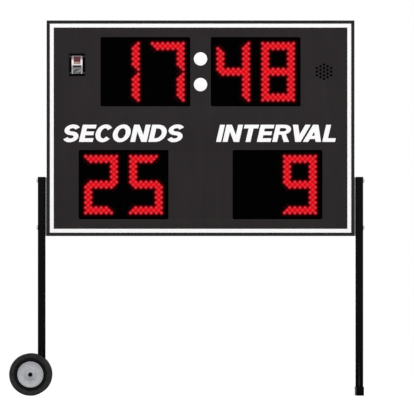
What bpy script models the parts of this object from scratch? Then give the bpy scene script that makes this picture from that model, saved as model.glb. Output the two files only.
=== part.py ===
"""Practice segment timer: an LED timer board on a rolling stand.

Metres, +Z up. The board's face looks along -Y and the stand rests on Z = 0. The origin lies on the
floor, at the middle of the whole outline.
"""

import math

import bmesh
import bpy
from mathutils import Matrix, Vector
from mathutils.geometry import convex_hull_2d

# Clearances

GAP = 0.0003  # between pieces that rest against each other
RUNNING_GAP = 0.0004  # round pieces that turn
BOLT_CLEARANCE = 0.0004  # round a bolt's shank

# LED lattice of one digit: rows and columns of lenses, with one more in the middle of each square

LED_PITCH = 0.0254
LENS_SPACING = 0.0068  # clear width between two lenses of one row
LENS_HEIGHT = 0.0050
SEGMENT_SPLIT = 0.0006  # between two segments of a digit
LED_COLUMNS = 7
LED_ROWS = 12
DIGIT_PITCH = 0.22225

# Digit windows and the face around them

WINDOW_SIDE_MARGIN = 0.025625  # from the outer lenses to the window's sides
WINDOW_END_MARGIN = 0.02245  # from the top and bottom lenses to the window's ends
WINDOW_CORNER = 0.008
FRAME_LIP = 0.016
STRIPE_WIDTH = 0.01905
STRIPE_THICKNESS = 0.0007
EDGE_MARGIN = 0.0475  # from the stripe to the windows, above and below
SIDE_COLUMN = 0.2317  # from the stripe to the clock windows, at the sides
CAPTION_BAND = 0.2159  # between the upper and the lower windows
COLON_DIAMETER = 0.066
COLON_SPREAD = 0.127
COLON_MARGIN = 0.01775

# Cabinet

CABINET_DEPTH = 0.1524
RAIL_WALL = 0.0020
RAIL_FIN = 0.0016
PANEL_THICKNESS = 0.0025
PANEL_LEDGE = 0.014
COVER_THICKNESS = 0.0020
COVER_LEDGE = 0.018
KEY_LEG = 0.060
KEY_THICKNESS = 0.0030
BOARD_THICKNESS = 0.0024
BOARD_BORDER = 0.0125  # how far a digit board reaches behind the panel, round its window

# Rear cover's louvres

LOUVRE_COUNT = 6
LOUVRE_WIDTH = 0.150
LOUVRE_HEIGHT = 0.014
LOUVRE_REACH = 0.008
LOUVRE_PITCH = 0.022
LOUVRE_WALL = 0.0015
LOUVRE_BANK_SPREAD = 0.860

# Horn and its grille

GRILLE_HOLE = 0.0115
GRILLE_COLUMN_PITCH = 0.0176
GRILLE_ROW_PITCH = 0.0178
GRILLE_COLUMNS = (3, 4, 5, 4, 3)
HORN_FLANGE = 0.0050  # width of the flange outside the mouth
HORN_FLANGE_THICKNESS = 0.0030
HORN_MOUTH_MARGIN = 0.0020
HORN_DEPTH = 0.055
HORN_THROAT_RADIUS = 0.009
HORN_CONE_DEPTH = 0.034
HORN_DRIVER_RADIUS = 0.028

# Electronics on the rear cover

CONTROL_BOARD = (0.200, 0.120, 0.0016)
STANDOFF_HEIGHT = 0.010
STANDOFF_RADIUS = 0.004
STANDOFF_INSET = 0.010
POWER_SUPPLY = (0.199, 0.098, 0.038)
POWER_SUPPLY_STEP = 0.016  # length of the open terminal end
ELECTRONICS_SPREAD = 0.180

# Power module at the upper left of the face

SWITCH_RISE = 0.0346  # above the middle of the clock windows
SWITCH_PLATE = (0.080, 0.111, 0.0020)
SWITCH_PLATE_CORNER = 0.004
BEZEL = (0.0535, 0.088, 0.0040)
BEZEL_CORNER = 0.0035
BEZEL_SIDE_RIM = 0.0065
BEZEL_END_RIM = 0.0035
BEZEL_BAR = 0.0065  # between the rocker and the lid
MODULE_SIDE_WALL = 0.0032
MODULE_END_WALL = 0.0020
MODULE_DEPTH = 0.032
ROCKER_POCKET = 0.0165
ROCKER_PIVOT_DEPTH = 0.0060
ROCKER_TILT = math.radians(10)
ROCKER_TIP = math.radians(18)
ROCKER_BACK = math.radians(20)
ROCKER_SADDLE = 0.0032  # depth of the fold, in front of the pins
ROCKER_FOLD_DROP = 0.0075  # from the pins down to the fold
ROCKER_PIN_RADIUS = 0.0020
ROCKER_PIN_ENTRY = 0.0014
LENS_MARGIN = 0.0012
LENS_DEPTH = 0.0016
LENS_PROUD = 0.0004
LID_THICKNESS = 0.0024
LID_BARREL_RADIUS = 0.0022
LID_PIN_RADIUS = 0.0010
LID_PIN_ENTRY = 0.0016
LID_GRIP = 0.0012
LID_SLOT = 0.0065  # open above the flap, so that it can swing up
SOCKET_DEPTH = 0.018
SOCKET_MOUTH = (0.027, 0.0195)
SOCKET_MOUTH_DEPTH = 0.014
SOCKET_CHAMFER = 0.005
PRONG = (0.0020, 0.0040, 0.0080)
PRONG_SPREAD = 0.0070
PRONG_RISE = 0.0040

# Stand

GROUND_CLEARANCE = 0.790  # from the floor to the cabinet
TUBE = 0.0381
TUBE_WALL = 0.0024
TUBE_CORNER = 0.0030
LEG_STANDOFF = 0.0056  # from the cabinet to the leg
LEG_OVERLAP = 0.293
LEG_CAP_THICKNESS = 0.0020
LEG_CAP_PLUG_TO_BOLT = 0.0015  # from the cap's plug to the bolt below it
LEG_CAP_PLUG_WALL = 0.0020
FOOT_LENGTH = 0.7112
LEFT_FOOT_LIFT = 0.033
FOOT_CAP_SOLE = 0.0030
FOOT_CAP_WALL = 0.0010
FOOT_CAP_END = 0.0030
FOOT_CAP_LENGTH = 0.045
GUSSET_THICKNESS = 0.0048
GUSSET_HEIGHT = 0.170
GUSSET_REACH = 0.150
GUSSET_TOE = 0.012
NUT_BAR_THICKNESS = 0.0060
NUT_BAR_MARGIN = 0.012  # past the bolts, at each end

# Leg bolts

BOLT_RADIUS = 0.00475
BOLT_FLANGE_RADIUS = 0.012
BOLT_FLANGE_THICKNESS = 0.0020
BOLT_HEAD_WIDTH = 0.0160
BOLT_HEAD_HEIGHT = 0.0050
BOLT_TIP = 0.0030  # past the nut bar
UPPER_BOLT_DROP = 0.018  # below the leg's top
LOWER_BOLT_RISE = 0.042  # above the cabinet's underside

# Wheels

WHEEL_DIAMETER = 0.20955
WHEEL_OUTBOARD = 0.0535  # from the left leg to the axle
TYRE_WIDTH = 0.0445
TYRE_SHOULDER_RADIUS = 0.0815
TYRE_SHOULDER_STEP = 0.0050
TYRE_CROWN_DROP = 0.0065
TYRE_CROWN_EDGE = 0.0070
TREAD_GROOVE_WIDTH = 0.0060
TREAD_GROOVE_DEPTH = 0.0028
TYRE_BEAD_WIDTH = 0.030
RIM_RADIUS = 0.064
RIM_WIDTH = 0.032
RIM_BAND = 0.006
WEB_WIDTH = 0.022
BOSS_RADIUS = 0.0255
BOSS_WIDTH = 0.034
BOSS_TAPER = 0.0030
HUB_RADIUS = 0.0140
HUB_LENGTH = 0.052
BUSH_WALL = 0.0030
AXLE_RADIUS = 0.00635
HUB_PLAY = 0.0005
PUSH_CAP_RADIUS = 0.00875
PUSH_CAP_LENGTH = 0.0090
PUSH_CAP_END = 0.0020
BRACKET_THICKNESS = 0.0048
BRACKET_BOSS_RADIUS = 0.022

# Facets of round shapes

WHEEL_STEPS = 32
HUB_STEPS = 20
BOLT_STEPS = 12
HOLE_STEPS = 8
CORNER_STEPS = 3

# Digits, with the segments that are lit

LIT = {
    "1": "bc",
    "2": "abged",
    "4": "fgbc",
    "5": "afgcd",
    "7": "abc",
    "8": "abcdefg",
    "9": "abcdfg",
    " ": "",
}
SHOWN = {
    "minutes_digit_board": "17",
    "seconds_digit_board": "48",
    "play_clock_digit_board": "25",
    "segment_digit_board": " 9",
}

# Sizes that follow from the ones above

LENS_HALF = (LED_PITCH - LENS_SPACING) / 2
DIGIT_WIDTH = (LED_COLUMNS - 1) * LED_PITCH + 2 * LENS_HALF
DIGIT_HEIGHT = (LED_ROWS - 1) * LED_PITCH + 2 * LENS_HALF
WINDOW_WIDTH = DIGIT_PITCH + DIGIT_WIDTH + 2 * WINDOW_SIDE_MARGIN
WINDOW_HEIGHT = DIGIT_HEIGHT + 2 * WINDOW_END_MARGIN

FACE_EDGE = FRAME_LIP + STRIPE_WIDTH
CLOCK_WINDOW_X = COLON_DIAMETER / 2 + COLON_MARGIN + WINDOW_WIDTH / 2
BOARD_WIDTH = 2 * (CLOCK_WINDOW_X + WINDOW_WIDTH / 2 + SIDE_COLUMN + FACE_EDGE)
BOARD_HEIGHT = 2 * (FACE_EDGE + EDGE_MARGIN + WINDOW_HEIGHT) + CAPTION_BAND
LOWER_WINDOW_X = BOARD_WIDTH / 4
WINDOW_ROW_Z = (CAPTION_BAND + WINDOW_HEIGHT) / 2
BOARD_Z = GROUND_CLEARANCE + BOARD_HEIGHT / 2
SIDE_X = BOARD_WIDTH / 2 - FACE_EDGE - SIDE_COLUMN / 2

FRONT_Y = -CABINET_DEPTH / 2
PANEL_FRONT_Y = FRONT_Y + RAIL_WALL + GAP
PANEL_BACK_Y = PANEL_FRONT_Y + PANEL_THICKNESS
COVER_BACK_Y = CABINET_DEPTH / 2
COVER_FRONT_Y = COVER_BACK_Y - COVER_THICKNESS
FIN_BACK_Y = PANEL_BACK_Y + GAP + RAIL_FIN

LEG_X = BOARD_WIDTH / 2 + LEG_STANDOFF + TUBE / 2
LEG_TOP = GROUND_CLEARANCE + LEG_OVERLAP
RIGHT_FOOT_BOTTOM = FOOT_CAP_SOLE + GAP
BOLT_HEIGHTS = {
    "upper": LEG_TOP - UPPER_BOLT_DROP,
    "lower": GROUND_CLEARANCE + LOWER_BOLT_RISE,
}

WHEEL_RADIUS = WHEEL_DIAMETER / 2
AXLE_X = -LEG_X - WHEEL_OUTBOARD
BRACKET_OUTER_Y = FOOT_LENGTH / 2 + GAP + BRACKET_THICKNESS
HUB_START_Y = BRACKET_OUTER_Y + HUB_PLAY
WHEEL_Y = HUB_START_Y + HUB_LENGTH / 2
PUSH_CAP_START_Y = HUB_START_Y + HUB_LENGTH + HUB_PLAY
AXLE_HALF = PUSH_CAP_START_Y + PUSH_CAP_LENGTH - PUSH_CAP_END - GAP

LEFT_REACH = WHEEL_RADIUS - AXLE_X
RIGHT_REACH = LEG_X + TUBE / 2 + GAP + BOLT_FLANGE_THICKNESS + BOLT_HEAD_HEIGHT
BOARD_X = (LEFT_REACH - RIGHT_REACH) / 2

LID_AXIS_DEPTH = LID_BARREL_RADIUS + GAP
SOCKET_FACE_DEPTH = LID_AXIS_DEPTH + LID_BARREL_RADIUS + RUNNING_GAP

FACINGS = {
    "up": (0, 0, 0),
    "front": (math.pi / 2, 0, 0),
    "side": (math.pi / 2, 0, math.pi / 2),
    "back": (-math.pi / 2, 0, 0),
}

# Scene and materials


def clear_scene():
    for obj in list(bpy.data.objects):
        bpy.data.objects.remove(obj)


def new_collection(name):
    collection = bpy.data.collections.new(name)
    bpy.context.scene.collection.children.link(collection)
    return collection


def linear(channel):
    if channel <= 0.04045:
        return channel / 12.92
    return ((channel + 0.055) / 1.055) ** 2.4


def material(name, colour, roughness, metallic=0.0):
    """A Principled material with an sRGB hex colour."""
    made = bpy.data.materials.new(name)
    made.use_nodes = True
    shader = made.node_tree.nodes["Principled BSDF"]
    channels = [int(colour[i : i + 2], 16) / 255 for i in (0, 2, 4)]
    shader.inputs["Base Color"].default_value = [*map(linear, channels), 1]
    shader.inputs["Roughness"].default_value = roughness
    shader.inputs["Metallic"].default_value = metallic
    return made


clear_scene()
PARTS = new_collection("practice_segment_timer")
CUTTERS = new_collection("cutters")

RAIL_BLACK = material("rail_black", "2A2A2A", 0.50)
FACE_BLACK = material("face_black", "2C2829", 0.55)
WINDOW_BLACK = material("window_black", "030303", 0.60)
LENS_LIT = material("lens_lit", "EC1C24", 0.35)
LENS_DARK = material("lens_dark", "140606", 0.35)
STRIPE_WHITE = material("stripe_white", "FDFBFC", 0.50)
STAND_BLACK = material("stand_black", "121212", 0.45)
BARE_ALUMINIUM = material("bare_aluminium", "B4B6B8", 0.35, 1.0)
ZINC = material("zinc", "B9BBBD", 0.35, 1.0)
AXLE_STEEL = material("axle_steel", "9A9CA0", 0.30, 1.0)
TYRE_RUBBER = material("tyre_rubber", "2A2A2A", 0.80)
WHEEL_SILVER = material("wheel_silver", "A8ABB0", 0.40, 0.8)
CAP_BLACK = material("cap_black", "0C0C0C", 0.50)
PLATE_BLACK = material("plate_black", "050505", 0.40)
BEZEL_WHITE = material("bezel_white", "EDEAE9", 0.40)
ROCKER_IVORY = material("rocker_ivory", "A08C78", 0.40)
ROCKER_RED = material("rocker_red", "6E2A34", 0.25)
LID_GREY = material("lid_grey", "6C6C6C", 0.45)
SOCKET_BLACK = material("socket_black", "101010", 0.45)
BUSH_NYLON = material("bush_nylon", "D8D6CE", 0.50)
BOARD_GREEN = material("board_green", "1E4A2E", 0.50)
HORN_BLACK = material("horn_black", "161616", 0.50)

ORIGIN = bpy.data.objects.new("board_origin", None)
ORIGIN.location = (BOARD_X, 0, 0)
PARTS.objects.link(ORIGIN)

# Shapes


def tidy_mesh(mesh):
    """Weld loose caps, turn every face outwards and shade round faces smooth."""
    shape = bmesh.new()
    shape.from_mesh(mesh)
    bmesh.ops.remove_doubles(shape, verts=shape.verts, dist=1e-6)
    bmesh.ops.recalc_face_normals(shape, faces=shape.faces)
    shape.to_mesh(mesh)
    shape.free()
    mesh.shade_smooth()
    mesh.set_sharp_from_angle(angle=math.radians(35))


def place(obj, centre=(0, 0, 0), facing="up", paint=None, parent=ORIGIN):
    """Put the object in its place. One without a material is a cutter."""
    if obj.name not in PARTS.objects:
        (PARTS if paint else CUTTERS).objects.link(obj)
    obj.parent = parent
    obj.location = centre
    obj.rotation_euler = FACINGS[facing]
    if paint:
        obj.data.materials.clear()
        obj.data.materials.append(paint)
    else:
        obj.hide_render = True
        obj.display_type = "WIRE"
    return obj


def settled(obj):
    """The same object, with the shape its curve or modifiers give as its own mesh."""
    bpy.context.scene.collection.objects.link(obj)
    graph = bpy.context.evaluated_depsgraph_get()
    mesh = bpy.data.meshes.new_from_object(obj.evaluated_get(graph))
    name = obj.name
    bpy.data.objects.remove(obj)
    tidy_mesh(mesh)
    mesh.name = name
    return bpy.data.objects.new(name, mesh)


def flat_curve(name, loops, thickness, lit=()):
    """A sheet with this outline. Loops after the first are holes in it, or further islands."""
    curve = bpy.data.curves.new(name, "CURVE")
    curve.dimensions = "2D"
    curve.fill_mode = "BOTH"
    curve.extrude = thickness / 2
    for number, loop in enumerate(loops):
        spline = curve.splines.new("POLY")
        spline.points.add(len(loop) - 1)
        spline.use_cyclic_u = True
        for point, (x, y) in zip(spline.points, loop):
            point.co = (x, y, 0, 1)
        if lit:
            spline.material_index = 0 if lit[number] else 1
    return bpy.data.objects.new(name, curve)


def sheet(name, loops, thickness):
    return settled(flat_curve(name, loops, thickness))


def block(name, size):
    mesh = bpy.data.meshes.new(name)
    shape = bmesh.new()
    bmesh.ops.create_cube(shape, size=1, matrix=Matrix.Diagonal((*size, 1)))
    shape.to_mesh(mesh)
    shape.free()
    return bpy.data.objects.new(name, mesh)


def prisms(name, section, width, places):
    """Bars along X in one mesh, each with this section of (y, z) points."""
    mesh = bpy.data.meshes.new(name)
    shape = bmesh.new()
    for x, z in places:
        corners = [shape.verts.new((x - width / 2, p[0], z + p[1])) for p in section]
        end = shape.faces.new(corners)
        grown = bmesh.ops.extrude_face_region(shape, geom=[end])["geom"]
        moved = [item for item in grown if isinstance(item, bmesh.types.BMVert)]
        bmesh.ops.translate(shape, verts=moved, vec=(width, 0, 0))
    shape.to_mesh(mesh)
    shape.free()
    tidy_mesh(mesh)
    return bpy.data.objects.new(name, mesh)


def rods(name, places, radius, length, steps, axis="Z"):
    """Parallel cylinders in one mesh."""
    turn = {
        "X": Matrix.Rotation(math.pi / 2, 4, "Y"),
        "Y": Matrix.Rotation(math.pi / 2, 4, "X"),
        "Z": Matrix.Identity(4),
    }[axis]
    mesh = bpy.data.meshes.new(name)
    shape = bmesh.new()
    for centre in places:
        bmesh.ops.create_cone(
            shape,
            cap_ends=True,
            segments=steps,
            radius1=radius,
            radius2=radius,
            depth=length,
            matrix=Matrix.Translation(centre) @ turn,
        )
    shape.to_mesh(mesh)
    shape.free()
    tidy_mesh(mesh)
    return bpy.data.objects.new(name, mesh)


def turned(name, profile, steps, closed=True):
    """A profile of (radius, height) points turned round Z."""
    count = len(profile)
    edges = [(i, i + 1) for i in range(count - 1)]
    if closed:
        edges.append((count - 1, 0))
    mesh = bpy.data.meshes.new(name)
    mesh.from_pydata([(radius, 0, height) for radius, height in profile], edges, [])
    obj = bpy.data.objects.new(name, mesh)
    screw = obj.modifiers.new("Turn", "SCREW")
    screw.steps = screw.render_steps = steps
    screw.use_merge_vertices = True
    screw.merge_threshold = 0.00001
    return settled(obj)


def boolean(obj, other, operation, label):
    modifier = obj.modifiers.new(label, "BOOLEAN")
    modifier.object = other
    modifier.operation = operation
    modifier.solver = "EXACT"
    modifier.material_mode = "TRANSFER" if operation == "UNION" else "INDEX"
    return obj


def cut(obj, cutter, label):
    return boolean(obj, cutter, "DIFFERENCE", label)


def join(obj, added, label):
    return boolean(obj, added, "UNION", label)


# Outlines


def arc(centre, radius, start, end, steps):
    """Points on an arc, both ends included, with angles in degrees."""
    angles = [math.radians(start + (end - start) * i / steps) for i in range(steps + 1)]
    return [(centre[0] + radius * math.cos(a), centre[1] + radius * math.sin(a)) for a in angles]


def circle(centre, radius, steps):
    return arc(centre, radius, 0, 360, steps)[:-1]


def rectangle(width, height, centre=(0, 0)):
    x, z = centre
    return [(x + a * width / 2, z + b * height / 2) for a, b in ((-1, -1), (1, -1), (1, 1), (-1, 1))]


def rounded_rectangle(width, height, radius, centre=(0, 0), steps=CORNER_STEPS):
    x, z = centre
    across = width / 2 - radius
    up = height / 2 - radius
    points = []
    for quarter, (a, b) in enumerate(((1, 1), (-1, 1), (-1, -1), (1, -1))):
        points += arc((x + a * across, z + b * up), radius, 90 * quarter, 90 * quarter + 90, steps)
    return points


# Digits. A lens stands at (x, y) in half pitches: even pairs lie on the rows and columns, odd pairs
# in the middle of the squares, and y counts down from the top row.


def lens_run(start, end, level, upright):
    return {(level, p) if upright else (p, level) for p in range(start, end + 1, 2)}


def lens_bar(start, end, level, inward, upright=False):
    """A segment of three lines of lenses, each one half a pitch shorter at both ends."""
    lines = [lens_run(start + n, end - n, level + n * inward, upright) for n in range(3)]
    return set().union(*lines)


def segment_lenses():
    steps = 2  # half pitches in a pitch
    right = steps * (LED_COLUMNS - 1)
    foot = steps * (LED_ROWS - 1)
    middle = foot // 2
    above = middle - 1
    below = middle + 1
    bars = [lens_run(steps, right - steps, level, False) for level in (above, below)]
    return {
        "a": lens_bar(0, right - steps, 0, 1),
        "b": lens_bar(0, above, right, -1, upright=True),
        "c": lens_bar(below, foot, right, -1, upright=True),
        "d": lens_bar(0, right - steps, foot, -1),
        "e": lens_bar(below, foot - steps, 0, 1, upright=True),
        "f": lens_bar(steps, above, 0, 1, upright=True),
        "g": set().union(*bars, lens_run(1, right - 1, middle, False)),
    }


def border_corners(lenses):
    """The border of the lenses' diamond cells, as a ring of corners."""
    following = {}
    for x, y in lenses:
        tips = ((x + 1, y), (x, y + 1), (x - 1, y), (x, y - 1))
        for start, end in zip(tips, tips[1:] + tips[:1]):
            beyond = (start[0] + end[0] - x, start[1] + end[1] - y)
            if beyond not in lenses:
                following[start] = end
    ring = [min(following)]
    while following[ring[-1]] != ring[0]:
        ring.append(following[ring[-1]])
    return ring


def lens_outline(lenses):
    """The scalloped outline of one segment, in metres from the middle of its digit."""
    half_pitch = LED_PITCH / 2
    split = SEGMENT_SPLIT / 2 / half_pitch / math.sqrt(2)
    blunt = 1 - LENS_HALF / half_pitch
    ring = [Vector(corner) for corner in border_corners(lenses)]
    points = []
    for number, corner in enumerate(ring):
        entry = corner - ring[number - 1]
        leave = ring[(number + 1) % len(ring)] - corner
        turn = entry.cross(leave)
        if turn == 0:
            continue
        inward = Vector((-entry.y - leave.y, entry.x + leave.x)) / 2
        points.append(corner + (blunt if turn > 0 else 2 * split) * inward)
    middle = Vector((LED_COLUMNS - 1, LED_ROWS - 1))
    return [((p.x - middle.x) * half_pitch, (middle.y - p.y) * half_pitch) for p in points]


def digit_board(name, centre_x, centre_z):
    """A board behind one window, with the lenses of its two digits standing on it."""
    loops = []
    lit = []
    outlines = {key: lens_outline(lenses) for key, lenses in segment_lenses().items()}
    for side, figure in zip((-1, 1), SHOWN[name]):
        for key, outline in outlines.items():
            loops.append([(x + side * DIGIT_PITCH / 2, z) for x, z in outline])
            lit.append(key in LIT[figure])
    front = PANEL_BACK_Y + GAP
    lens_body = LENS_HEIGHT + BOARD_THICKNESS / 2
    curve = flat_curve(name + "_lenses", loops, lens_body, lit)
    curve.data.materials.append(LENS_LIT)
    curve.data.materials.append(LENS_DARK)
    lenses = settled(curve)
    place(lenses, (centre_x, front - LENS_HEIGHT + lens_body / 2, centre_z), "front")
    size = (WINDOW_WIDTH + 2 * BOARD_BORDER, WINDOW_HEIGHT + 2 * BOARD_BORDER)
    board = sheet(name, [rectangle(*size)], BOARD_THICKNESS)
    place(board, (centre_x, front + BOARD_THICKNESS / 2, centre_z), "front", WINDOW_BLACK)
    join(board, lenses, "Lenses")


# Cabinet


def rail_section():
    """Section of a frame rail: depth from the front, and height outwards from its outer edge."""
    groove_back = RAIL_WALL + GAP + PANEL_THICKNESS + GAP
    fin_back = groove_back + RAIL_FIN
    rebate = CABINET_DEPTH - COVER_THICKNESS - GAP
    return [
        (0, 0),
        (0, -FRAME_LIP),
        (RAIL_WALL, -FRAME_LIP),
        (RAIL_WALL, -RAIL_WALL),
        (groove_back, -RAIL_WALL),
        (groove_back, -PANEL_LEDGE),
        (fin_back, -PANEL_LEDGE),
        (fin_back, -RAIL_WALL),
        (rebate - RAIL_FIN, -RAIL_WALL),
        (rebate - RAIL_FIN, -COVER_LEDGE),
        (rebate, -COVER_LEDGE),
        (rebate, -RAIL_WALL),
        (CABINET_DEPTH, -RAIL_WALL),
        (CABINET_DEPTH, 0),
    ]


def frame_rail(name, length, outward, quarter):
    """A rail whose ends are mitred at 45 degrees, turned to its side of the cabinet."""
    rail = prisms(name, rail_section(), length, [(0, 0)])
    mitre_gap = GAP / math.sqrt(2)
    for vertex in rail.data.vertices:
        vertex.co.x -= math.copysign(1, vertex.co.x) * (mitre_gap - vertex.co.z)
    place(rail, paint=RAIL_BLACK)
    turn = Matrix.Rotation(quarter * math.pi / 2, 4, "Y")
    middle = Matrix.Translation((0, 0, BOARD_Z))
    rail.matrix_basis = middle @ turn @ Matrix.Translation((0, FRONT_Y, outward))
    return rail


def bolt_holes(name, side, inner_x, outer_x):
    """Cutters for the two bolt holes between these distances from the middle of the board."""
    middle = side * (inner_x + outer_x) / 2
    places = [(middle, 0, height) for height in BOLT_HEIGHTS.values()]
    radius = BOLT_RADIUS + BOLT_CLEARANCE
    cutter = rods(name + "_holes", places, radius, outer_x - inner_x + 0.004, BOLT_STEPS, "X")
    return place(cutter)


def frame():
    frame_rail("top_rail", BOARD_WIDTH, BOARD_HEIGHT / 2, 0)
    frame_rail("bottom_rail", BOARD_WIDTH, BOARD_HEIGHT / 2, 2)
    for name, side, quarter in (("right_rail", 1, 1), ("left_rail", -1, 3)):
        rail = frame_rail(name, BOARD_HEIGHT, BOARD_WIDTH / 2, quarter)
        holes = bolt_holes(name, side, BOARD_WIDTH / 2 - RAIL_WALL, BOARD_WIDTH / 2)
        cut(rail, holes, "Bolt holes")


def corner_keys():
    """Angle pieces that hold the mitred corners, in front of the nut bars."""
    front = FIN_BACK_Y + GAP
    back = -TUBE / 2 - GAP
    inset = RAIL_WALL + GAP
    for level, up in (("upper", 1), ("lower", -1)):
        for hand, across in (("left", -1), ("right", 1)):
            corner = (across * (BOARD_WIDTH / 2 - inset), up * (BOARD_HEIGHT / 2 - inset))
            steps = (
                (0, 0),
                (KEY_LEG, 0),
                (KEY_LEG, KEY_THICKNESS),
                (KEY_THICKNESS, KEY_THICKNESS),
                (KEY_THICKNESS, KEY_LEG),
                (0, KEY_LEG),
            )
            outline = [(corner[0] - across * x, corner[1] - up * z) for x, z in steps]
            key = sheet(f"{level}_{hand}_corner_key", [outline], back - front)
            place(key, (0, (front + back) / 2, BOARD_Z), "front", BARE_ALUMINIUM)


def grille_places():
    places = []
    for column, count in enumerate(GRILLE_COLUMNS):
        x = (column - (len(GRILLE_COLUMNS) - 1) / 2) * GRILLE_COLUMN_PITCH
        places += [(x, (row - (count - 1) / 2) * GRILLE_ROW_PITCH) for row in range(count)]
    return places


def window_places():
    return {
        "minutes_digit_board": (-CLOCK_WINDOW_X, WINDOW_ROW_Z),
        "seconds_digit_board": (CLOCK_WINDOW_X, WINDOW_ROW_Z),
        "play_clock_digit_board": (-LOWER_WINDOW_X, -WINDOW_ROW_Z),
        "segment_digit_board": (LOWER_WINDOW_X, -WINDOW_ROW_Z),
    }


def module_size():
    """Width and height of the power module's body, behind its bezel."""
    width = BEZEL[0] - 2 * (BEZEL_SIDE_RIM - MODULE_SIDE_WALL)
    height = BEZEL[1] - 2 * (BEZEL_END_RIM - MODULE_END_WALL)
    return width, height


def face():
    inset = RAIL_WALL + GAP
    loops = [rectangle(BOARD_WIDTH - 2 * inset, BOARD_HEIGHT - 2 * inset)]
    for centre in window_places().values():
        loops.append(rounded_rectangle(WINDOW_WIDTH, WINDOW_HEIGHT, WINDOW_CORNER, centre))
    for x, z in grille_places():
        loops.append(circle((SIDE_X + x, WINDOW_ROW_Z + z), GRILLE_HOLE / 2, HOLE_STEPS))
    width, height = (size + 2 * GAP for size in module_size())
    loops.append(rectangle(width, height, (-SIDE_X, WINDOW_ROW_Z + SWITCH_RISE)))
    panel = sheet("face_panel", loops, PANEL_THICKNESS)
    place(panel, (0, PANEL_FRONT_Y + PANEL_THICKNESS / 2, BOARD_Z), "front", FACE_BLACK)

    outer = (BOARD_WIDTH - 2 * (FRAME_LIP + GAP), BOARD_HEIGHT - 2 * (FRAME_LIP + GAP))
    inner = (BOARD_WIDTH - 2 * FACE_EDGE, BOARD_HEIGHT - 2 * FACE_EDGE)
    middle = PANEL_FRONT_Y - GAP - STRIPE_THICKNESS / 2
    stripe = sheet("border_stripe", [rectangle(*outer), rectangle(*inner)], STRIPE_THICKNESS)
    place(stripe, (0, middle, BOARD_Z), "front", STRIPE_WHITE)
    for name, up in (("upper_colon_disc", 1), ("lower_colon_disc", -1)):
        disc = sheet(name, [circle((0, 0), COLON_DIAMETER / 2, HUB_STEPS)], STRIPE_THICKNESS)
        height = BOARD_Z + WINDOW_ROW_Z + up * COLON_SPREAD / 2
        place(disc, (0, middle, height), "front", STRIPE_WHITE)


def digits():
    for name, (x, z) in window_places().items():
        digit_board(name, x, BOARD_Z + z)


def louvre_places():
    for across in (-1, 1):
        for row in range(LOUVRE_COUNT):
            height = ((LOUVRE_COUNT - 1) / 2 - row) * LOUVRE_PITCH
            yield across * LOUVRE_BANK_SPREAD / 2, height + LOUVRE_HEIGHT / 2


def rear_cover():
    inset = RAIL_WALL + GAP
    size = (BOARD_WIDTH - 2 * inset, BOARD_HEIGHT - 2 * inset)
    cover = sheet("rear_cover", [rectangle(*size)], COVER_THICKNESS)
    place(cover, (0, COVER_BACK_Y - COVER_THICKNESS / 2, BOARD_Z), "front", RAIL_BLACK)

    sunk = -COVER_THICKNESS / 2
    hood = [(sunk, 0), (0, 0), (LOUVRE_REACH, -LOUVRE_HEIGHT), (sunk, -LOUVRE_HEIGHT)]
    slope = math.hypot(LOUVRE_REACH, LOUVRE_HEIGHT)
    inner_top = -LOUVRE_WALL * slope / LOUVRE_REACH
    inner_lip = LOUVRE_REACH - LOUVRE_WALL * slope / LOUVRE_HEIGHT
    past = COVER_THICKNESS / 2
    mouth = [
        (-COVER_THICKNESS - past, inner_top),
        (0, inner_top),
        (inner_lip, -LOUVRE_HEIGHT),
        (inner_lip, -LOUVRE_HEIGHT - past),
        (-COVER_THICKNESS - past, -LOUVRE_HEIGHT - past),
    ]
    places = list(louvre_places())
    hoods = prisms("louvre_hoods", hood, LOUVRE_WIDTH, places)
    mouths = prisms("louvre_mouths", mouth, LOUVRE_WIDTH - 2 * LOUVRE_WALL, places)
    for cutter in (hoods, mouths):
        place(cutter, (0, COVER_BACK_Y, BOARD_Z))
    join(cover, hoods, "Louvre hoods")
    cut(cover, mouths, "Louvre mouths")


def horn():
    mouth = max(math.hypot(x, z) for x, z in grille_places()) + GRILLE_HOLE / 2 + HORN_MOUTH_MARGIN
    profile = [
        (0, -HORN_CONE_DEPTH),
        (HORN_THROAT_RADIUS, -HORN_CONE_DEPTH),
        (mouth, 0),
        (mouth + HORN_FLANGE, 0),
        (mouth + HORN_FLANGE, -HORN_FLANGE_THICKNESS),
        (mouth, -HORN_FLANGE_THICKNESS),
        (HORN_DRIVER_RADIUS, -HORN_CONE_DEPTH),
        (HORN_DRIVER_RADIUS, -HORN_DEPTH),
        (0, -HORN_DEPTH),
    ]
    body = turned("horn", profile, HUB_STEPS, closed=False)
    place(body, (SIDE_X, PANEL_BACK_Y + GAP, BOARD_Z + WINDOW_ROW_Z), "front", HORN_BLACK)


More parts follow.
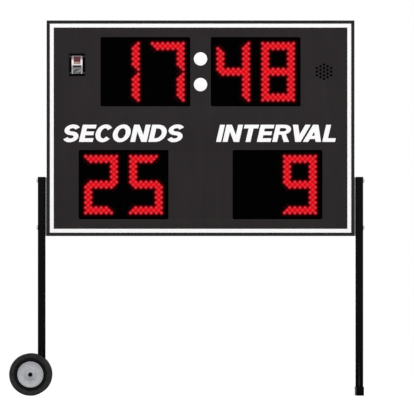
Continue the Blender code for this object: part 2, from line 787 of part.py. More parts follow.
def electronics():
    """The control board on its standoffs and the power supply, both on the rear cover."""
    width, height, thickness = CONTROL_BOARD
    back = COVER_FRONT_Y - GAP
    board_y = back - STANDOFF_HEIGHT - thickness / 2
    board = place(
        block("control_board", (width, thickness, height)),
        (ELECTRONICS_SPREAD, board_y, BOARD_Z),
        paint=BOARD_GREEN,
    )
    across = width / 2 - STANDOFF_INSET
    up = height / 2 - STANDOFF_INSET
    corners = [(a * across, 0, b * up) for a in (-1, 1) for b in (-1, 1)]
    length = STANDOFF_HEIGHT + thickness / 2
    standoffs = rods("standoffs", corners, STANDOFF_RADIUS, length, HOLE_STEPS, "Y")
    place(standoffs, (ELECTRONICS_SPREAD, back - length / 2, BOARD_Z))
    join(board, standoffs, "Standoffs")

    width, height, depth = POWER_SUPPLY
    centre = (-ELECTRONICS_SPREAD, back - depth / 2, BOARD_Z)
    supply = block("power_supply", (width, depth, height))
    place(supply, centre, paint=BARE_ALUMINIUM)
    terminal = block("power_supply_end", (POWER_SUPPLY_STEP, depth, height))
    place(terminal, (centre[0] - width / 2, centre[1] - depth / 2, centre[2] + RAIL_FIN))
    cut(supply, terminal, "Terminal end")


# Power module


def module_frame():
    """Bezel front plane, and the middle heights of the rocker and the lid above the bezel's middle."""
    front = PANEL_FRONT_Y - 2 * GAP - SWITCH_PLATE[2] - BEZEL[2]
    opening = (BEZEL[1] / 2 - BEZEL_END_RIM) - BEZEL_BAR / 2
    middle = BEZEL_BAR / 2 + opening / 2
    return front, opening, middle


def power_module():
    front, opening, middle = module_frame()
    height = BOARD_Z + WINDOW_ROW_Z + SWITCH_RISE
    body_width, body_height = module_size()
    plate_hole = rectangle(body_width + 2 * GAP, body_height + 2 * GAP)
    outline = rounded_rectangle(*SWITCH_PLATE[:2], SWITCH_PLATE_CORNER)
    plate = sheet("switch_plate", [outline, plate_hole], SWITCH_PLATE[2])
    plate_y = PANEL_FRONT_Y - GAP - SWITCH_PLATE[2] / 2
    place(plate, (-SIDE_X, plate_y, height), "front", PLATE_BLACK)

    bezel = sheet("power_module", [rounded_rectangle(*BEZEL[:2], BEZEL_CORNER)], BEZEL[2])
    place(bezel, (-SIDE_X, front + BEZEL[2] / 2, height), "front", BEZEL_WHITE)
    body = block("power_module_body", (body_width, MODULE_DEPTH + BEZEL[2] / 2, body_height))
    back = front + BEZEL[2] + MODULE_DEPTH
    place(body, (-SIDE_X, (front + BEZEL[2] / 2 + back) / 2, height))
    join(bezel, body, "Body")

    width = BEZEL[0] - 2 * BEZEL_SIDE_RIM
    lid_pocket = SOCKET_FACE_DEPTH + SOCKET_DEPTH + GAP
    for name, depth, up in (("rocker_pocket", ROCKER_POCKET, 1), ("lid_pocket", lid_pocket, -1)):
        pocket = block(name, (width, 2 * depth, opening))
        place(pocket, (-SIDE_X, front, height + up * middle))
        cut(bezel, pocket, name)
    pivot = (-SIDE_X, front + ROCKER_PIVOT_DEPTH, height + middle)
    reach = width + 2 * (ROCKER_PIN_ENTRY + GAP)
    radius = ROCKER_PIN_RADIUS + RUNNING_GAP
    seats = place(rods("rocker_seats", [pivot], radius, reach, BOLT_STEPS, "X"))
    cut(bezel, seats, "Rocker seats")
    reach = width + 2 * (LID_PIN_ENTRY + GAP)
    radius = LID_PIN_RADIUS + GAP
    seats = place(rods("lid_seats", [lid_axis()], radius, reach, BOLT_STEPS, "X"))
    cut(bezel, seats, "Lid pin seats")
    rocker(pivot, width, opening)
    lid(width, opening)
    socket(width, opening, middle, height)


def rocker(pivot, width, opening):
    """A see-saw key with ends that are round about its pins. At rest its lower end is pressed."""
    radius = opening / 2 - RUNNING_GAP
    tip = ROCKER_TIP
    back = ROCKER_BACK

    def rim(angle):
        return Vector((-radius * math.sin(angle), radius * math.cos(angle)))

    top = [rim(-back + (tip + back) * i / 3) for i in range(4)]
    saddle = Vector((-ROCKER_SADDLE, -ROCKER_FOLD_DROP))
    along = (saddle - top[-1]).normalized()
    deep = Vector((-along.y, along.x))
    length = (saddle - top[-1]).length
    edge_high = top[-1] + along * LENS_MARGIN
    edge_low = top[-1] + along * (length - LENS_MARGIN)
    bottom = [Vector((p.x, -p.y)) for p in reversed(top)]
    pocket = [edge_high, edge_high + deep * LENS_DEPTH, edge_low + deep * LENS_DEPTH, edge_low]
    outline = [*top, *pocket, saddle, *bottom]
    turn = Matrix.Rotation(ROCKER_TILT, 2)

    key = sheet("power_rocker", [[turn @ p for p in outline]], width - 2 * RUNNING_GAP)
    place(key, pivot, "side", ROCKER_IVORY)
    pin_length = width + 2 * ROCKER_PIN_ENTRY
    pins = rods("rocker_pins", [pivot], ROCKER_PIN_RADIUS, pin_length, BOLT_STEPS, "X")
    join(key, place(pins), "Pins")

    floor_high = edge_high + along * GAP + deep * (LENS_DEPTH - GAP)
    floor_low = edge_low - along * GAP + deep * (LENS_DEPTH - GAP)
    rise = deep * (LENS_DEPTH - GAP + LENS_PROUD)
    lens_points = [floor_high, floor_low, floor_low - rise, floor_high - rise]
    lens = sheet("rocker_lens", [[turn @ p for p in lens_points]], width - 2 * RUNNING_GAP)
    place(lens, pivot, "side", ROCKER_RED)


def lid_axis():
    front, _, _ = module_frame()
    height = BOARD_Z + WINDOW_ROW_Z + SWITCH_RISE
    drop = BEZEL_BAR / 2 + LID_SLOT + LID_BARREL_RADIUS
    return Vector((-SIDE_X, front + LID_AXIS_DEPTH, height - drop))


def lid(width, opening):
    """A flap that hangs from its pin and swings up."""
    length = opening - LID_SLOT - LID_BARREL_RADIUS - RUNNING_GAP
    outer = -LID_BARREL_RADIUS
    inner = outer + LID_THICKNESS
    root = math.sqrt(LID_BARREL_RADIUS**2 - inner**2)
    start = math.degrees(math.atan2(-root, inner))
    barrel = arc((0, 0), LID_BARREL_RADIUS, start, 180, 8)
    flap = [
        (outer, -length + 2 * LID_GRIP),
        (outer - LID_GRIP, -length + LID_GRIP),
        (outer - LID_GRIP, -length),
        (inner, -length),
    ]
    bore = circle((0, 0), LID_PIN_RADIUS + RUNNING_GAP, BOLT_STEPS)
    flap_width = width - 2 * RUNNING_GAP
    place(sheet("inlet_lid", [barrel + flap, bore], flap_width), lid_axis(), "side", LID_GREY)
    pin_length = width + 2 * LID_PIN_ENTRY
    pin = rods("lid_pin", [(0, 0, 0)], LID_PIN_RADIUS, pin_length, BOLT_STEPS, "X")
    place(pin, lid_axis(), paint=ZINC)


def socket(width, opening, middle, height):
    """The inlet behind the lid: a chamfered mouth with three prongs."""
    front, _, _ = module_frame()
    face_y = front + SOCKET_FACE_DEPTH
    centre = (-SIDE_X, face_y + SOCKET_DEPTH / 2, height - middle)
    body = block("inlet_socket", (width - 2 * GAP, SOCKET_DEPTH, opening - 2 * GAP))
    place(body, centre, paint=SOCKET_BLACK)
    across, up = (size / 2 for size in SOCKET_MOUTH)
    mouth = [
        (-across, -up),
        (across, -up),
        (across, up - SOCKET_CHAMFER),
        (across - SOCKET_CHAMFER, up),
        (SOCKET_CHAMFER - across, up),
        (-across, up - SOCKET_CHAMFER),
    ]
    cutter = sheet("socket_mouth", [mouth], 2 * SOCKET_MOUTH_DEPTH)
    cut(body, place(cutter, (-SIDE_X, face_y, height - middle), "front"), "Mouth")
    thin, tall, long = PRONG
    root = (SOCKET_DEPTH - SOCKET_MOUTH_DEPTH) / 2
    prong_y = face_y + SOCKET_MOUTH_DEPTH + (root - long) / 2
    for number in (-1, 0, 1):
        prong = block(f"socket_prong_{number + 2}", (thin, root + long, tall))
        rise = PRONG_RISE if number == 0 else -PRONG_RISE / 2
        place(prong, (-SIDE_X + number * PRONG_SPREAD, prong_y, height - middle + rise))
        join(body, prong, f"Prong {number + 2}")


# Stand


def tube(name, length):
    bore = TUBE - 2 * TUBE_WALL
    outer = rounded_rectangle(TUBE, TUBE, TUBE_CORNER, steps=2)
    inner = rounded_rectangle(bore, bore, max(TUBE_CORNER - TUBE_WALL, TUBE_WALL / 4), steps=2)
    return sheet(name, [outer, inner], length)


def leg(hand, side, foot_top):
    bottom = foot_top + GAP
    top = LEG_TOP - LEG_CAP_THICKNESS - GAP
    upright = tube(f"{hand}_leg", top - bottom)
    place(upright, (side * LEG_X, 0, (top + bottom) / 2), paint=STAND_BLACK)
    cut(upright, bolt_holes(hand + "_leg", side, LEG_X - TUBE / 2, LEG_X + TUBE / 2), "Bolt holes")

    cap = sheet(
        f"{hand}_leg_cap",
        [rounded_rectangle(TUBE, TUBE, TUBE_CORNER, steps=2)],
        LEG_CAP_THICKNESS,
    )
    place(cap, (side * LEG_X, 0, LEG_TOP - LEG_CAP_THICKNESS / 2), paint=CAP_BLACK)
    plug_width = TUBE - 2 * (TUBE_WALL + GAP)
    hollow = plug_width - 2 * LEG_CAP_PLUG_WALL
    plug_top = LEG_TOP - LEG_CAP_THICKNESS / 2
    plug_end = BOLT_HEIGHTS["upper"] + BOLT_RADIUS + LEG_CAP_PLUG_TO_BOLT
    plug = sheet(
        f"{hand}_leg_cap_plug",
        [rectangle(plug_width, plug_width), rectangle(hollow, hollow)],
        plug_top - plug_end,
    )
    place(plug, (side * LEG_X, 0, (plug_top + plug_end) / 2))
    join(cap, plug, "Plug")


def gussets(hand, side, foot_top):
    """Triangular plates in the corners between the leg and the foot."""
    base = foot_top + GAP
    start = TUBE / 2 + GAP
    for end, outward in (("front", -1), ("rear", 1)):
        outline = [
            (outward * start, base),
            (outward * (start + GUSSET_REACH), base),
            (outward * (start + GUSSET_REACH), base + GUSSET_TOE),
            (outward * (start + GUSSET_TOE), base + GUSSET_HEIGHT),
            (outward * start, base + GUSSET_HEIGHT),
        ]
        plate = sheet(f"{hand}_{end}_gusset", [outline], GUSSET_THICKNESS)
        place(plate, (side * LEG_X, 0, 0), "side", STAND_BLACK)


def cabinet_fixings(hand, side):
    """Spacer strip between leg and cabinet, nut bar inside, and the two bolts through them."""
    thickness = LEG_STANDOFF - 2 * GAP
    strip_x = BOARD_WIDTH / 2 + LEG_STANDOFF / 2
    strip_top = LEG_TOP - LEG_CAP_THICKNESS - GAP
    strip = block(f"{hand}_spacer_strip", (thickness, TUBE, strip_top - GROUND_CLEARANCE))
    middle = (strip_top + GROUND_CLEARANCE) / 2
    place(strip, (side * strip_x, 0, middle), paint=BARE_ALUMINIUM)
    outer = BOARD_WIDTH / 2 + LEG_STANDOFF
    cut(strip, bolt_holes(hand + "_spacer", side, outer - LEG_STANDOFF, outer), "Bolt holes")

    bar_outer = BOARD_WIDTH / 2 - RAIL_WALL - GAP
    low = BOLT_HEIGHTS["lower"] - NUT_BAR_MARGIN
    high = BOLT_HEIGHTS["upper"] + NUT_BAR_MARGIN
    bar = block(f"{hand}_nut_bar", (NUT_BAR_THICKNESS, TUBE, high - low))
    place(bar, (side * (bar_outer - NUT_BAR_THICKNESS / 2), 0, (low + high) / 2), paint=ZINC)
    cut(bar, bolt_holes(hand + "_bar", side, bar_outer - NUT_BAR_THICKNESS, bar_outer), "Bolt holes")

    leg_face = LEG_X + TUBE / 2 + GAP
    reach = leg_face - bar_outer + NUT_BAR_THICKNESS + BOLT_TIP
    for level, height in BOLT_HEIGHTS.items():
        bolt(f"{hand}_{level}_bolt", side, leg_face, height, reach)


def bolt(name, side, seat_x, height, reach):
    """A hexagon bolt with a flange, its shank running inwards from its seat."""
    flange = rods(name, [(0, 0, 0)], BOLT_FLANGE_RADIUS, BOLT_FLANGE_THICKNESS, HUB_STEPS, "X")
    centre = side * (seat_x + BOLT_FLANGE_THICKNESS / 2)
    place(flange, (centre, 0, height), paint=ZINC)
    overlap = BOLT_FLANGE_THICKNESS / 2
    head_radius = BOLT_HEAD_WIDTH / math.sqrt(3)
    head = rods(name + "_head", [(0, 0, 0)], head_radius, BOLT_HEAD_HEIGHT + overlap, 6, "X")
    head_x = seat_x + overlap + (BOLT_HEAD_HEIGHT + overlap) / 2
    place(head, (side * head_x, 0, height))
    shank = rods(name + "_shank", [(0, 0, 0)], BOLT_RADIUS, reach + overlap, BOLT_STEPS, "X")
    place(shank, (side * (seat_x + overlap - (reach + overlap) / 2), 0, height))
    join(flange, head, "Head")
    join(flange, shank, "Shank")


def foot_cap(end, outward):
    """A sleeve closed at its end, whose thick underside stands on the floor."""
    inner = TUBE + 2 * GAP
    width = inner + 2 * FOOT_CAP_WALL
    height = FOOT_CAP_SOLE + inner + FOOT_CAP_WALL
    closed_y = FOOT_LENGTH / 2 + GAP + FOOT_CAP_END
    middle_y = outward * (closed_y - FOOT_CAP_LENGTH / 2)
    cap = sheet(
        f"right_foot_{end}_cap",
        [rounded_rectangle(width, height, FOOT_CAP_WALL, steps=2)],
        FOOT_CAP_LENGTH,
    )
    place(cap, (LEG_X, middle_y, height / 2), "front", CAP_BLACK)
    hollow = block(f"{end}_cap_hollow", (inner, FOOT_CAP_LENGTH, inner))
    hollow_y = outward * (closed_y - FOOT_CAP_END - FOOT_CAP_LENGTH / 2)
    place(hollow, (LEG_X, hollow_y, FOOT_CAP_SOLE + inner / 2))
    cut(cap, hollow, "Hollow")


def foot(hand, side, bottom):
    bar = tube(f"{hand}_foot", FOOT_LENGTH)
    place(bar, (side * LEG_X, 0, bottom + TUBE / 2), "front", STAND_BLACK)


def stand():
    for hand, side, bottom in (("left", -1, LEFT_FOOT_LIFT), ("right", 1, RIGHT_FOOT_BOTTOM)):
        foot(hand, side, bottom)
        leg(hand, side, bottom + TUBE)
        gussets(hand, side, bottom + TUBE)
        cabinet_fixings(hand, side)
    foot_cap("front", -1)
    foot_cap("rear", 1)


# Wheels


def mirrored(half):
    """A closed section from its outer half, which runs from the bore outwards."""
    return [*half, *[(radius, -height) for radius, height in reversed(half)]]


def tyre_section():
    side = TYRE_WIDTH / 2
    return mirrored(
        [
            (RIM_RADIUS + GAP, TYRE_BEAD_WIDTH / 2),
            (TYRE_SHOULDER_RADIUS, side - TYRE_SHOULDER_STEP),
            (TYRE_SHOULDER_RADIUS + TYRE_SHOULDER_STEP / 2, side),
            (WHEEL_RADIUS - TYRE_CROWN_DROP, side),
            (WHEEL_RADIUS, side - TYRE_CROWN_EDGE),
            (WHEEL_RADIUS, TREAD_GROOVE_WIDTH / 2),
            (WHEEL_RADIUS - TREAD_GROOVE_DEPTH, TREAD_GROOVE_WIDTH / 3),
        ]
    )


def disc_section():
    bore = AXLE_RADIUS + RUNNING_GAP + BUSH_WALL + GAP
    web = WEB_WIDTH / 2
    step = (RIM_WIDTH - WEB_WIDTH) / 2
    return mirrored(
        [
            (bore, HUB_LENGTH / 2),
            (HUB_RADIUS, HUB_LENGTH / 2),
            (HUB_RADIUS, BOSS_WIDTH / 2),
            (BOSS_RADIUS, BOSS_WIDTH / 2),
            (BOSS_RADIUS + BOSS_TAPER, web),
            (RIM_RADIUS - RIM_BAND - step, web),
            (RIM_RADIUS - RIM_BAND, RIM_WIDTH / 2),
            (RIM_RADIUS, RIM_WIDTH / 2),
        ]
    )


def wheel(end, outward):
    """A wheel that turns on the axle, its parts carried by an empty on the axle's line."""
    axis = bpy.data.objects.new(f"{end}_wheel_axis", None)
    PARTS.objects.link(axis)
    axis.parent = ORIGIN
    axis.location = (AXLE_X, outward * WHEEL_Y, WHEEL_RADIUS)
    axis.rotation_euler = FACINGS["front" if outward < 0 else "back"]
    tyre = turned(f"{end}_tyre", tyre_section(), WHEEL_STEPS)
    place(tyre, paint=TYRE_RUBBER, parent=axis)
    disc = turned(f"{end}_wheel_disc", disc_section(), WHEEL_STEPS)
    place(disc, paint=WHEEL_SILVER, parent=axis)
    bore = AXLE_RADIUS + RUNNING_GAP
    bush_section = mirrored([(bore, HUB_LENGTH / 2), (bore + BUSH_WALL, HUB_LENGTH / 2)])
    bush = turned(f"{end}_wheel_bush", bush_section, HUB_STEPS)
    place(bush, paint=BUSH_NYLON, parent=axis)


def push_cap(end, outward):
    """A domed cap pressed on the end of the axle."""
    bore = AXLE_RADIUS + GAP
    depth = PUSH_CAP_LENGTH - PUSH_CAP_END
    dome = PUSH_CAP_RADIUS - PUSH_CAP_END
    profile = [
        (0, PUSH_CAP_LENGTH),
        (dome, PUSH_CAP_LENGTH),
        (PUSH_CAP_RADIUS, depth),
        (PUSH_CAP_RADIUS, 0),
        (bore, 0),
        (bore, depth),
        (0, depth),
    ]
    cap = turned(f"{end}_push_cap", profile, HUB_STEPS, closed=False)
    facing = "front" if outward < 0 else "back"
    place(cap, (AXLE_X, outward * PUSH_CAP_START_Y, WHEEL_RADIUS), facing, CAP_BLACK)


def axle_bracket(end, outward):
    """A plate across the foot's end that carries the axle beside the foot."""
    foot_z = LEFT_FOOT_LIFT + TUBE / 2
    boss = (-WHEEL_OUTBOARD, WHEEL_RADIUS - foot_z)
    points = rectangle(TUBE, TUBE) + circle(boss, BRACKET_BOSS_RADIUS, HUB_STEPS)
    outline = [points[i] for i in convex_hull_2d(points)]
    hole = circle(boss, AXLE_RADIUS + GAP, HUB_STEPS)
    plate = sheet(f"{end}_axle_bracket", [outline, hole], BRACKET_THICKNESS)
    middle = outward * (BRACKET_OUTER_Y - BRACKET_THICKNESS / 2)
    place(plate, (-LEG_X, middle, foot_z), "front", STAND_BLACK)


def rolling_gear():
    axle = rods("axle", [(0, 0, 0)], AXLE_RADIUS, 2 * AXLE_HALF, HUB_STEPS, "Y")
    place(axle, (AXLE_X, 0, WHEEL_RADIUS), paint=AXLE_STEEL)
    for end, outward in (("front", -1), ("rear", 1)):
        axle_bracket(end, outward)
        wheel(end, outward)
        push_cap(end, outward)


frame()
corner_keys()
face()
digits()
rear_cover()
horn()
electronics()
power_module()
stand()
rolling_gear()
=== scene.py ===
"""Looks of the practice segment timer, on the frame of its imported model.

Metres, +Z up. The face looks along -Y and the stand rests on Z = 0. Colours are matched to the
photograph, and each pattern's scale comes from a real size.
"""

import math

import bmesh
import bpy
from mathutils import Matrix, Vector


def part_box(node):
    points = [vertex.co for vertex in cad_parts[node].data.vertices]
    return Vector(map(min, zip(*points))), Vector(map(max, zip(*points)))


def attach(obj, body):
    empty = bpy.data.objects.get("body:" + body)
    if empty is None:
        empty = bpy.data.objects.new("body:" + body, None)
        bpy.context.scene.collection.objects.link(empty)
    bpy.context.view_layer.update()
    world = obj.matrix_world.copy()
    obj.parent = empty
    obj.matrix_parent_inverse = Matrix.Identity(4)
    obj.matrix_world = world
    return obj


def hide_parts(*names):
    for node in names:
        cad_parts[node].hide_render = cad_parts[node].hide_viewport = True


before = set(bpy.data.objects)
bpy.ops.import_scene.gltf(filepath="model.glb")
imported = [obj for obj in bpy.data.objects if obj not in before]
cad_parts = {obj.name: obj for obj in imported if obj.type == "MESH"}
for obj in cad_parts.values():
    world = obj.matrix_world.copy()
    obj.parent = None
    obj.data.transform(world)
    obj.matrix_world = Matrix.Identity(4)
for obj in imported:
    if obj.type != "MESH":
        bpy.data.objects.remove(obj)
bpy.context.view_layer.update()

MM = 0.001

# LED lattice, as in the model

LED_PITCH = 25.4 * MM
LED_COLUMNS = 7
LED_ROWS = 12
DIGIT_PITCH = 222.25 * MM
LENS_HEIGHT = 5 * MM
LENS_RADIUS = 8.75 * MM
FILM_THICKNESS = 0.3 * MM
FILM_STANDOFF = 0.2 * MM  # from a board to the film that lies over it
SPILL_REACH = 10 * MM  # how far a lit lens lights the film round it
DISPLAYS = {
    "minutes_digit_board": "17",
    "seconds_digit_board": "48",
    "play_clock_digit_board": "25",
    "segment_digit_board": " 9",
}
LIT_SEGMENTS = {
    "1": "bc",
    "2": "abged",
    "4": "fgbc",
    "5": "afgcd",
    "7": "abc",
    "8": "abcdefg",
    "9": "abcdfg",
    " ": "",
}

# Face details

WINDOW_CORNER = 8 * MM
BOARD_BORDER = 12.5 * MM  # how far a digit board reaches behind the face, round its window
MODULE_MARGIN = 4 * MM  # of the cut-out round the parts of the power module that reach inside
CAPTIONS = {"SECONDS": "play_clock_digit_board", "INTERVAL": "segment_digit_board"}
CAPTION_HEIGHT = 85 * MM
CAPTION_DROP = 25.4 * MM  # from the face's middle down to the middle of the letters
CAPTION_THICKNESS = 0.4 * MM
CAPTION_SLANT = 0.23
GRILLE_HOLE = 12.4 * MM
GRILLE_COLUMN_PITCH = 17.6 * MM
GRILLE_ROW_PITCH = 17.8 * MM
GRILLE_COLUMNS = (3, 4, 5, 4, 3)

# Power module

KEY_NARROWING = 3.2 * MM  # at each side: the key and its opening are narrower than the flap
LID_BAND = 21 * MM  # from one band of scratches and painted reflection to the next
SCRATCH_SLANT = math.radians(28)
LIP_STANDOFF = 0.15 * MM  # from the bezel to the lip of the lid
LIP_INSET = 1.5 * MM  # of the lip's ends from the flap's sides

# Stand

TUBE_CORNER = 3 * MM
TUBE_WALL = 2 * MM
FOOT_CAP_WIDTH = 39.3 * MM
SCREW_PITCH = 190 * MM
WELD_DROP = 2.2 * MM

# Camera, from the photograph: the view's width at the face, and the face's place in it

VIEW_WIDTH = 2.049
VIEW_SHIFT_X = 0.032  # of the view's middle, to the right of the face's middle
VIEW_HEIGHT = 0.9333
CAMERA_X = -0.15
CAMERA_Z = 0.35  # low, so that the wheel and the foot, which stand before the face, keep their rows
LENS = 1650  # millimetres, for the photograph's parallel view
SENSOR = 36


def corners(node):
    """A CAD node's lowest and highest corners at rest."""
    return [Vector(corner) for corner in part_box(node)]


def middle_of(node):
    low, high = corners(node)
    return (low + high) / 2


# Nodes


def linear(colour):
    """Linear RGBA of an sRGB hex colour."""
    channels = [int(colour[i : i + 2], 16) / 255 for i in (0, 2, 4)]
    return [*(c / 12.92 if c <= 0.04045 else ((c + 0.055) / 1.055) ** 2.4 for c in channels), 1]


def plug(node, inputs):
    """Sets a node's inputs. Each takes a value, or the socket or node that feeds it."""
    for key, value in inputs.items():
        if isinstance(value, bpy.types.Node):
            value = next(socket for socket in value.outputs if socket.enabled)
        if isinstance(value, bpy.types.NodeSocket):
            node.id_data.links.new(value, node.inputs[key])
        else:
            node.inputs[key].default_value = value


def add(tree, kind, inputs=None, stops=(), **settings):
    """A node with its settings and inputs, and a colour ramp's (position, hex colour) stops.

    A kind that is given without its family's name is a shader node.
    """
    made = tree.nodes.new(kind if "Node" in kind else f"ShaderNode{kind}")
    for key, value in settings.items():
        setattr(made, key, value)
    if stops:
        elements = made.color_ramp.elements
        while len(elements) < len(stops):
            elements.new(0.5)
        for element, (position, colour) in zip(elements, stops):
            element.position = position
            element.color = linear(colour)
    plug(made, inputs or {})
    return made


def new_finish(name, specular=0.5, metallic=0.0):
    """A material, its node tree and its Principled shader."""
    finish = bpy.data.materials.new(name)
    finish.use_nodes = True
    shader = finish.node_tree.nodes["Principled BSDF"]
    plug(shader, {"Specular IOR Level": specular, "Metallic": metallic})
    return finish, finish.node_tree, shader


def grains(tree, size, detail=3.0, stretch=(1, 1, 1), roughness=0.5, slant=0.0):
    """Noise on object coordinates in grains about this long, in metres, that rise by slant."""
    place = add(tree, "TexCoord").outputs["Object"]
    if slant:
        place = add(tree, "Mapping", {"Vector": place, "Rotation": (0, slant, 0)})
    if stretch != (1, 1, 1):
        place = add(tree, "Mapping", {"Vector": place, "Scale": stretch})
    inputs = {"Vector": place, "Scale": 1 / size, "Detail": detail, "Roughness": roughness}
    return add(tree, "TexNoise", inputs)


def mottled(tree, pattern, tones):
    """A mottle of two or three tones over a pattern, most of which lies between 0.3 and 0.7."""
    stops = [(0.3 + 0.4 * i / (len(tones) - 1), tone) for i, tone in enumerate(tones)]
    return add(tree, "ValToRGB", {"Fac": pattern}, stops)


def textured(tree, shader, pattern, spread, height=0.0, strength=0.4):
    """One pattern gives a surface its roughness, over this spread, and its relief."""
    smooth, rough = spread
    roughness = add(tree, "MapRange", {"Value": pattern, "To Min": smooth, "To Max": rough})
    plug(shader, {"Roughness": roughness})
    if height:
        relief = {"Height": pattern, "Distance": height, "Strength": strength}
        plug(shader, {"Normal": add(tree, "Bump", relief)})


def two_grained(name, tones, cloud, fine, spread, height=0.0, strength=0.4, **shine):
    """A finish whose tones follow one grain, and whose roughness and relief follow a finer one.

    Both are given as grains() takes them. Without a finer one the first serves for all.
    """
    finish, tree, shader = new_finish(name, **shine)
    pattern = grains(tree, **cloud)
    plug(shader, {"Base Color": mottled(tree, pattern, tones)})
    pattern = grains(tree, **fine) if fine else pattern
    textured(tree, shader, pattern, spread, height, strength)
    return finish


def height_on(tree):
    """The height of a point of the piece, in metres."""
    place = add(tree, "TexCoord").outputs["Object"]
    return add(tree, "SeparateXYZ", {0: place}).outputs["Z"]


# Finishes


def powder_coat(name, tones, roughness, specular):
    """Powder coat on metal: a fine orange peel, and a cloudiness that only a raking light shows."""
    cloud = {"size": 90 * MM, "detail": 2}
    # Real orange peel is about 1.5 mm. It is drawn at 4 mm, so that it shows in the render.
    peel = {"size": 4 * MM, "detail": 2}
    spread = (roughness - 0.06, roughness + 0.08)
    depth = {"height": 0.15 * MM, "strength": 0.5}
    return two_grained(name, tones, cloud, peel, spread, **depth, specular=specular)


def painted_sheet(name, tones):
    """Satin paint on aluminium sheet: almost even, with slight streaks from rolling."""
    streak = {"size": 30 * MM, "detail": 4, "stretch": (1, 1, 0.12)}
    peel = {"size": 3 * MM, "detail": 2}
    return two_grained(name, tones, streak, peel, (0.5, 0.62), height=0.05 * MM, specular=0.12)


def mill_aluminium(name, tones):
    """Mill-finish extruded aluminium: drawn lines along its length and a soft grey sheen."""
    lines = {"size": 1.5 * MM, "detail": 4, "stretch": (1, 1, 0.01)}
    return two_grained(name, tones, lines, None, (0.32, 0.5), height=0.02 * MM, metallic=1.0)


def drawn_steel(name, tones):
    """Bright drawn steel bar: fine rings round it from turning, along Y."""
    rings = {"size": 3 * MM, "stretch": (0.05, 1, 0.05)}
    return two_grained(name, tones, rings, None, (0.22, 0.4), metallic=1.0)


def metal_lacquer(name, tones):
    """Lacquer on pressed steel: fine metal flake under a dull film of dust and scuffs."""
    scuff = {"size": 10 * MM, "detail": 8, "roughness": 0.7}
    # Real flake is about 0.1 mm. It is drawn at 2 mm, so that it shows in the render.
    flake = {"size": 2 * MM, "detail": 2}
    depth = {"height": 0.06 * MM, "strength": 0.5}
    shine = {"specular": 0.2, "metallic": 0.3}
    return two_grained(name, tones, scuff, flake, (0.48, 0.68), **depth, **shine)


ERODED = {"size": 1.5 * MM, "detail": 2}  # the texture of an eroded mould
ERODED_HEIGHT = 0.04 * MM


def moulded(name, tones, spread, specular, cloud=10 * MM):
    """Moulded plastic: an even colour with the fine texture of its mould."""
    grain = {"size": cloud}
    return two_grained(name, tones, grain, ERODED, spread, ERODED_HEIGHT, specular=specular)


def cast_vinyl(name, tones):
    """Cast vinyl film: smooth and even, with a faint stipple from the sheet below."""
    finish, tree, shader = new_finish(name, specular=0.4)
    stipple = grains(tree, 5 * MM, 2)
    relief = add(tree, "Bump", {"Height": stipple, "Distance": 0.04 * MM, "Strength": 0.3})
    tone = mottled(tree, stipple, tones)
    plug(shader, {"Base Color": tone, "Roughness": 0.45, "Normal": relief})
    return finish


def solder_mask(name, tones, specular):
    """Matt solder mask over copper: tracks stand up a little under it."""
    finish, tree, shader = new_finish(name, specular)
    place = add(tree, "TexCoord").outputs["Object"]
    sizes = {"Scale": 1.0, "Brick Width": LED_PITCH, "Row Height": LED_PITCH / 4}
    layout = {"Vector": place, "Mortar Size": 0.4 * MM, **sizes}
    tracks = add(tree, "TexBrick", layout).outputs["Fac"]
    relief = add(tree, "Bump", {"Height": tracks, "Distance": 0.05 * MM, "Strength": 0.4})
    tone = mottled(tree, grains(tree, 40 * MM, 2), tones)
    plug(shader, {"Base Color": tone, "Roughness": 0.7, "Normal": relief})
    return finish


def lit_lens():
    """Red diffused epoxy lens, lit: pale over the die, and deeper red where lit lenses surround it."""
    finish, tree, shader = new_finish("red_diffused_epoxy_lit", 0.08)
    reach = add(tree, "Attribute", attribute_name="from_axis").outputs["Fac"]
    company = add(tree, "Attribute", attribute_name="company").outputs["Fac"]
    share = add(tree, "MapRange", {"Value": company, "From Min": 0.4})
    red = ((0.0, "D44A5A"), (0.5, "CE2E3C"), (0.95, "AC0C18"))
    alone = add(tree, "ValToRGB", {"Fac": reach}, red)
    deeper = ((0.0, "F0222D"), (0.5, "EE1824"), (0.95, "E00C18"))
    among = add(tree, "ValToRGB", {"Fac": reach}, deeper)
    glow = add(tree, "Mix", {"Factor": share, "A": alone, "B": among}, data_type="RGBA")
    plug(shader, {"Base Color": linear("300406"), "Roughness": 0.35})
    plug(shader, {"Emission Color": glow, "Emission Strength": 0.96})
    return finish


def tinted_film():
    """Smoked polyester film over a digit board: black, and red where it scatters the lenses' light."""
    finish, tree, shader = new_finish("smoked_polyester_film", 0.003)
    spill = add(tree, "Attribute", attribute_name="spill").outputs["Fac"]
    reds = ((0.0, "000000"), (0.2, "280003"), (0.6, "7C020A"), (0.85, "DA0812"))
    glow = add(tree, "ValToRGB", {"Fac": spill}, reds)
    grain = grains(tree, 5 * MM, 2)
    black = mottled(tree, grain, ("000000", "020202"))
    plug(shader, {"Base Color": black, "Emission Color": glow, "Emission Strength": 1.0})
    textured(tree, shader, grain, (0.5, 0.7))
    return finish


def dark_lens():
    """The same lens, unlit: a smoked dome, almost black, that catches red from lit neighbours."""
    finish, tree, shader = new_finish("smoked_epoxy_dark", 0.006)
    reach = add(tree, "Attribute", attribute_name="from_axis").outputs["Fac"]
    smoke = add(tree, "ValToRGB", {"Fac": reach}, ((0.0, "030102"), (0.9, "010101")))
    company = add(tree, "Attribute", attribute_name="company").outputs["Fac"]
    reds = ((0.0, "000000"), (0.25, "1E0003"), (1.0, "5A040A"))
    caught = add(tree, "ValToRGB", {"Fac": company}, reds)
    plug(shader, {"Base Color": smoke, "Emission Color": caught, "Emission Strength": 1.0})
    textured(tree, shader, grains(tree, 4 * MM), (0.45, 0.6))
    return finish


